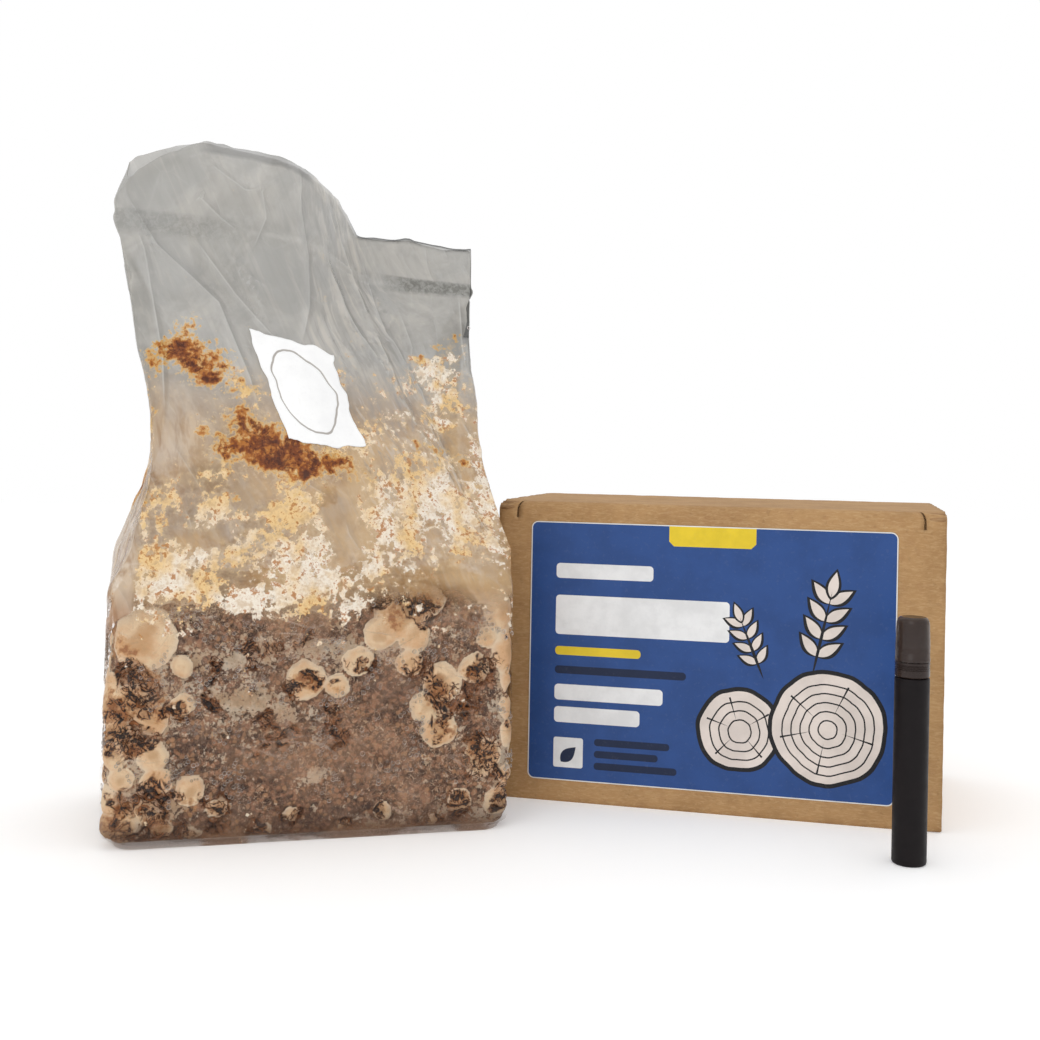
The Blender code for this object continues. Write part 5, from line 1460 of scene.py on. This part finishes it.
def sprig(x, z, degrees, size):        # a stalk with paired leaves
    shapes = []
    angle = math.radians(degrees)
    for i in range(4):
        t = (0.25 + 0.2 * i) * size
        px, pz = x + t * math.cos(angle), z + t * math.sin(angle)
        for turn in (-48, 48):
            outer = leaf(px, pz, 0.34 * size, 0.17 * size, degrees + turn)
            inner = leaf(px + 0.4 * math.cos(angle), pz + 0.4, 0.29 * size, 0.11 * size, degrees + turn)
            shapes += [("black", outer), ("cream", inner)]
    tip = leaf(x + 0.9 * size * math.cos(angle), z + 0.9 * size * math.sin(angle), 0.36 * size, 0.17 * size, degrees)
    shapes.append(("black", tip))
    shapes.append(("cream", leaf(x + 0.93 * size * math.cos(angle), z + 0.93 * size * math.sin(angle),
                                 0.29 * size, 0.11 * size, degrees)))
    stalk = leaf(x, z, 1.0 * size, 1.6, degrees)
    return shapes + [("black", stalk)]


def labelShapes():        # later shapes are printed over earlier ones
    w, h, m = label["width"], label["height"], label["margin"]
    shapes = [("paper", roundedBox(0, 0, w, h, label["corner"])),
              ("blue", roundedBox(m, m, w - 2 * m, h - 2 * m, label["corner"] - m))]
    tab = [(74, h - m), (74, h - 8.5), (76.5, h - 11), (116.5, h - 11), (119, h - 8.5), (119, h - m)]
    shapes.append(("yellow", tab))
    for ink, x, z, width, height in label["bars"]:
        shapes.append((ink, roundedBox(x, z, width, height, min(2.0, 0.45 * height))))
    shapes.append(("white", roundedBox(14, 7, 16, 16, 1.2)))
    shapes.append(("ink", leaf(18, 10, 11.5, 6.5, 45)))
    shapes += sprig(148, 62, 78, 46) + sprig(124, 60, 112, 34)
    shapes += logEnd(112, 33, 22, 0.3) + logEnd(156, 37, 30, 1.1)
    return shapes


def insideOutline(spots, outline):
    inside = np.zeros(len(spots), bool)
    for (x0, z0), (x1, z1) in zip(outline, outline[1:] + outline[:1]):
        if z0 != z1:
            crossing = (spots[:, 1] > z0) != (spots[:, 1] > z1)
            reach = x0 + (spots[:, 1] - z0) * (x1 - x0) / (z1 - z0)
            inside ^= crossing & (spots[:, 0] < reach)
    return inside


def makeLabel(inks):
    shapes = labelShapes()
    spots, edges = [], []
    for _, outline in shapes:
        first, count = len(spots), len(outline)
        spots += [Vector(spot) for spot in outline]
        edges += [(first + i, first + (i + 1) % count) for i in range(count)]
    flat, _, faces, _, _, _ = delaunay_2d_cdt(spots, edges, [], 0, 1e-4)
    middles = np.array([np.mean([flat[i] for i in face], axis=0) for face in faces])
    inkOf = np.full(len(faces), -1)
    order = list(inks)
    for ink, outline in shapes:
        inkOf[insideOutline(middles, outline)] = order.index(ink)
    kept = [n for n in range(len(faces)) if inkOf[n] >= 0]
    left = -label["fromRight"] - label["width"]
    bottom = carton["height"] - label["fromTop"] - label["height"]
    mesh = bmesh.new()
    corners = [mesh.verts.new(Vector((left + x, label["front"], bottom + z)) * mm) for x, z in flat]
    for n in kept:
        face = mesh.faces.new([corners[i] for i in faces[n]])
        face.material_index = int(inkOf[n])
    bmesh.ops.delete(mesh, geom=[v for v in mesh.verts if not v.link_faces], context="VERTS")
    fronts = list(mesh.faces)
    if fronts[0].normal.y > 0:
        bmesh.ops.reverse_faces(mesh, faces=fronts)
    backs = bmesh.ops.duplicate(mesh, geom=list(mesh.verts) + list(mesh.edges) + fronts)
    lowered = [item for item in backs["geom"] if isinstance(item, bmesh.types.BMVert)]
    for vertex in lowered:
        vertex.co.y = label["back"] * mm
    backFaces = [item for item in backs["geom"] if isinstance(item, bmesh.types.BMFace)]
    bmesh.ops.reverse_faces(mesh, faces=backFaces)
    for face in backFaces:
        face.material_index = order.index("paper")
    rims = [edge for edge in mesh.edges if edge.is_boundary]
    wall = bmesh.ops.bridge_loops(mesh, edges=rims)
    for face in wall["faces"]:
        face.material_index = order.index("paper")
    bmesh.ops.recalc_face_normals(mesh, faces=mesh.faces)
    data = bpy.data.meshes.new("cartonLabel")
    mesh.to_mesh(data)
    mesh.free()
    data.transform(cartonPlace)
    piece = linked("cartonLabel", data)
    for material in inks.values():
        data.materials.append(material)
    rideAndReplace(piece, "carton_label")
    return piece


def inkFinish(name, color, rough=0.34):        # print on coated paper: faint mottle and paper grain
    material, tree, shader = finishOf(name)
    shade = tuple(0.86 * c for c in color)
    tone = mottled(tree, color, shade, tuple(0.8 * c + 0.05 for c in color), 55.0, 0.25)
    relief = grouped(tree, fineRelief, Scale=650.0, Depth=0.00003)["Normal"]
    setFinish(tree, shader, color=tone, rough=rough, normal=relief, specular=0.25)
    return material


inks = {
    "paper": inkFinish("labelPaper", (0.80, 0.79, 0.76), 0.5), "blue": inkFinish("labelBlue", (0.026, 0.076, 0.255)),
    "yellow": inkFinish("labelYellow", (0.82, 0.60, 0.032)), "white": inkFinish("labelWhite", (0.84, 0.84, 0.84)),
    "cream": inkFinish("labelCream", (0.78, 0.69, 0.63)), "black": inkFinish("labelBlack", (0.012, 0.012, 0.014)),
    "ink": inkFinish("labelNavy", (0.012, 0.022, 0.060)),
}
labelPiece = makeLabel(inks)
print("stage: label", len(labelPiece.data.polygons))


# The mist bottle, turned about its own axis

bottle = {"radius": 7.9, "wall": 1.1, "shoulder": 86.0, "neck": 5.2, "collarTop": 97.5, "capTop": 114.0, "sides": 96}


def turnedPiece(name, profile, closed=False, sharp=38):
    points, faces, rings = [], [], []
    for radius, height in profile:
        start = len(points)
        if radius < 1e-9:
            points.append((0, 0, height))
            rings.append([start])
            continue
        for k in range(bottle["sides"]):
            angle = 2 * math.pi * k / bottle["sides"]
            points.append((radius * math.cos(angle), radius * math.sin(angle), height))
        rings.append(list(range(start, len(points))))
    if closed:
        rings.append(rings[0])
    for low, high in zip(rings, rings[1:]):
        for k in range(bottle["sides"] if max(len(low), len(high)) > 1 else 0):
            n = (k + 1) % bottle["sides"]
            corners = [low[k % len(low)], low[n % len(low)], high[n % len(high)], high[k % len(high)]]
            faces.append(tuple(dict.fromkeys(corners)))
    piece = meshPiece(name, points, faces, bottlePlace, sharp=sharp)
    faceOutwards(piece)
    return piece


def rounded(start, corner, end, steps=4):        # a soft corner between two profile points
    start, corner, end = (np.array(p, float) for p in (start, corner, end))
    return [tuple((1 - t) ** 2 * start + 2 * t * (1 - t) * corner + t * t * end)
            for t in np.linspace(0, 1, steps + 1)]


def makeBottle():
    r, wall, shoulder = bottle["radius"], bottle["wall"], bottle["shoulder"]
    neck, bore, neckTop = bottle["neck"], bottle["neck"] - wall, shoulder + 7
    body = turnedPiece("bottleBody", [(0, 0.35), (r - 3.2, 0.35), (r - 2.4, 0)] + rounded(
        (r - 1.3, 0), (r, 0), (r, 1.5)) + [(r, shoulder - 2)] + rounded(
        (r, shoulder - 0.7), (r, shoulder), (r - 0.7, shoulder)) + [
        (neck, shoulder), (neck, neckTop), (bore, neckTop), (bore, shoulder - 2.5),
        (r - wall, shoulder - 4.5), (r - wall, 1.6), (0, 1.6)])
    collarFoot = shoulder + 0.3
    ribs = []
    for k in range(3):
        z = collarFoot + 3.4 + 0.9 * k
        ribs += [(r - 0.02, z), (r - 0.3, z + 0.22), (r - 0.3, z + 0.5), (r - 0.02, z + 0.72)]
    collar = turnedPiece("pumpCollar", [
        (neck + 0.3, collarFoot), (r - 0.5, collarFoot), (r - 0.02, collarFoot + 0.5)] + ribs + [
        (r - 0.02, bottle["collarTop"] - 4.5), (r - 0.35, bottle["collarTop"] - 4.15),
        (r - 1.15, bottle["collarTop"] - 4.15), (r - 1.15, bottle["collarTop"] - 0.4),
        (r - 1.5, bottle["collarTop"]), (2.6, bottle["collarTop"]), (2.6, bottle["collarTop"] - 1.5),
        (neck + 0.3, bottle["collarTop"] - 2.2)], closed=True)
    foot, top = bottle["collarTop"] + 1.0, bottle["capTop"] - 3.4
    button = turnedPiece("sprayButton", [
        (0, shoulder - 30), (1.2, shoulder - 30), (1.2, shoulder - 8), (2.7, shoulder - 6),
        (bore - 0.3, shoulder - 1.5),
        (bore - 0.3, neckTop + 0.2), (2.4, neckTop + 0.4), (2.4, foot), (4.2, foot), (4.2, foot + 2.2),
        (3.9, foot + 2.5), (3.9, foot + 3.1), (4.2, foot + 3.4), (4.2, top - 1.0)]
        + rounded((4.2, top - 0.9), (4.2, top - 0.2), (3.5, top - 0.1)) + [(1.6, top - 0.5), (0, top - 0.6)])
    capFoot, capTop = bottle["collarTop"] - 3.9, bottle["capTop"]
    cap = turnedPiece("smokedCap", [
        (r - 0.05, capFoot), (r, capFoot + 0.4), (r, capFoot + 1.6), (r - 0.14, capFoot + 1.8),
        (r - 0.1, capTop - 13), (r - 0.45, capTop - 3.4)] + rounded(
        (r - 0.5, capTop - 3.0), (r - 0.75, capTop - 0.1), (r - 3.0, capTop), 7) + [
        (r - 4.4, capTop - 0.25), (0, capTop - 0.45), (0, capTop - 1.4), (r - 4.4, capTop - 1.35)] + rounded(
        (r - 3.2, capTop - 1.2), (r - 1.7, capTop - 1.2), (r - 1.6, capTop - 3.0), 5) + [
        (r - 0.95, capTop - 13), (r - 0.95, capFoot)], closed=True)
    return body, collar, button, cap


def plasticFinish(name, color, rough, shine=0.3, alpha=1.0):
    material, tree, shader = finishOf(name)
    tone = mottled(tree, color, tuple(0.8 * c for c in color),
                   tuple(min(1, 1.5 * c + 0.01) for c in color), 140.0, 0.12)
    relief = grouped(tree, fineRelief, Scale=1400.0, Depth=0.000025)["Normal"]
    wear = noiseIn(tree, objectPlace(tree), 210, 4, 0.6)
    setFinish(tree, shader, color=tone, rough=ranged(tree, wear, 0.3, 0.7, rough, rough + 0.12), normal=relief,
              specular=shine, alpha=alpha, ior=1.49)
    return material


body, collar, button, cap = makeBottle()
dressed(body, plasticFinish("blackPlastic", (0.0070, 0.0045, 0.0052), 0.42, 0.18), "mist_bottle")
dressed(collar, plasticFinish("smokedCollar", (0.030, 0.018, 0.015), 0.2, 0.3), "mist_pump")
dressed(button, plasticFinish("darkButton", (0.012, 0.008, 0.007), 0.3), "mist_pump")
dressed(cap, plasticFinish("smokedClear", (0.052, 0.035, 0.030), 0.12, 0.35, alpha=0.72), "mist_cap")
print("stage: bottle")


# Studio: a pale floor, soft light from above and in front, and the camera

studio = {
    "cameraFromCarton": (-214, -649, 190), "lens": 45.0, "sensor": 36.0, "roll": 0.0184, "shiftY": -75 / 1040,
    "skyLight": 0.86, "overhead": 2.6, "front": 3.4, "floor": 6.0,
}


def makeFloor():
    half = studio["floor"] / 2 / mm
    steps = 24
    line = np.linspace(-half, half, steps + 1)
    x, y = (grid.ravel() for grid in np.meshgrid(line, line))
    floor = meshPiece("studioFloor", np.stack([x, y, 0 * x], 1), gridFaces(steps + 1, steps + 1), Matrix.Identity(4))
    material, tree, shader = finishOf("studioFloor")
    cloudy = ranged(tree, noiseIn(tree, objectPlace(tree), 3, 3), 0.3, 0.7)
    tone = mixed(tree, cloudy, (0.93, 0.93, 0.93), (0.95, 0.95, 0.95))
    setFinish(tree, shader, color=tone, rough=0.9, specular=0.1)
    plug(tree, shader.inputs["Emission Color"], (1, 1, 1))
    plug(tree, shader.inputs["Emission Strength"], 0.2)
    floor.data.materials.append(material)


def softLight(name, place, size, energy, aim=(0, 0, 0.12)):
    lamp = bpy.data.lights.new(name, "AREA")
    lamp.shape = "DISK"
    lamp.size = size
    lamp.energy = energy
    light = linked(name, lamp)
    light.location = place
    light.rotation_euler = (Vector(aim) - Vector(place)).to_track_quat("-Z", "Y").to_euler()


def makeSky():
    world = bpy.data.worlds.new("studio")
    bpy.context.scene.world = world
    world.use_nodes = True
    tree = world.node_tree
    tree.nodes.clear()
    seen = outOf(tree, "ShaderNodeBackground", {"Color": (1, 1, 1), "Strength": 1.0})
    light = outOf(tree, "ShaderNodeBackground", {"Color": (1, 1, 1), "Strength": studio["skyLight"]})
    camera = nodeIn(tree, "ShaderNodeLightPath").outputs["Is Camera Ray"]
    both = outOf(tree, "ShaderNodeMixShader", {0: camera, 1: light, 2: seen})
    nodeIn(tree, "ShaderNodeOutputWorld", {"Surface": both})


def makeCamera():
    lens = bpy.data.cameras.new("camera")
    lens.lens = studio["lens"]
    lens.sensor_width = studio["sensor"]
    lens.shift_y = studio["shiftY"]
    camera = linked("camera", lens)
    camera.matrix_world = (Matrix.Translation(cartonCorner + Vector(studio["cameraFromCarton"]) * mm)
                           @ Matrix.Rotation(math.pi / 2, 4, "X") @ Matrix.Rotation(studio["roll"], 4, "Z"))
    bpy.context.scene.camera = camera


makeFloor()
softLight("overheadSoftbox", (0.1, 0.1, 1.5), 1.6, studio["overhead"])
softLight("frontSoftbox", (-0.7, -1.5, 0.9), 1.0, studio["front"])
makeSky()
makeCamera()
bpy.context.scene.view_settings.view_transform = "Standard"
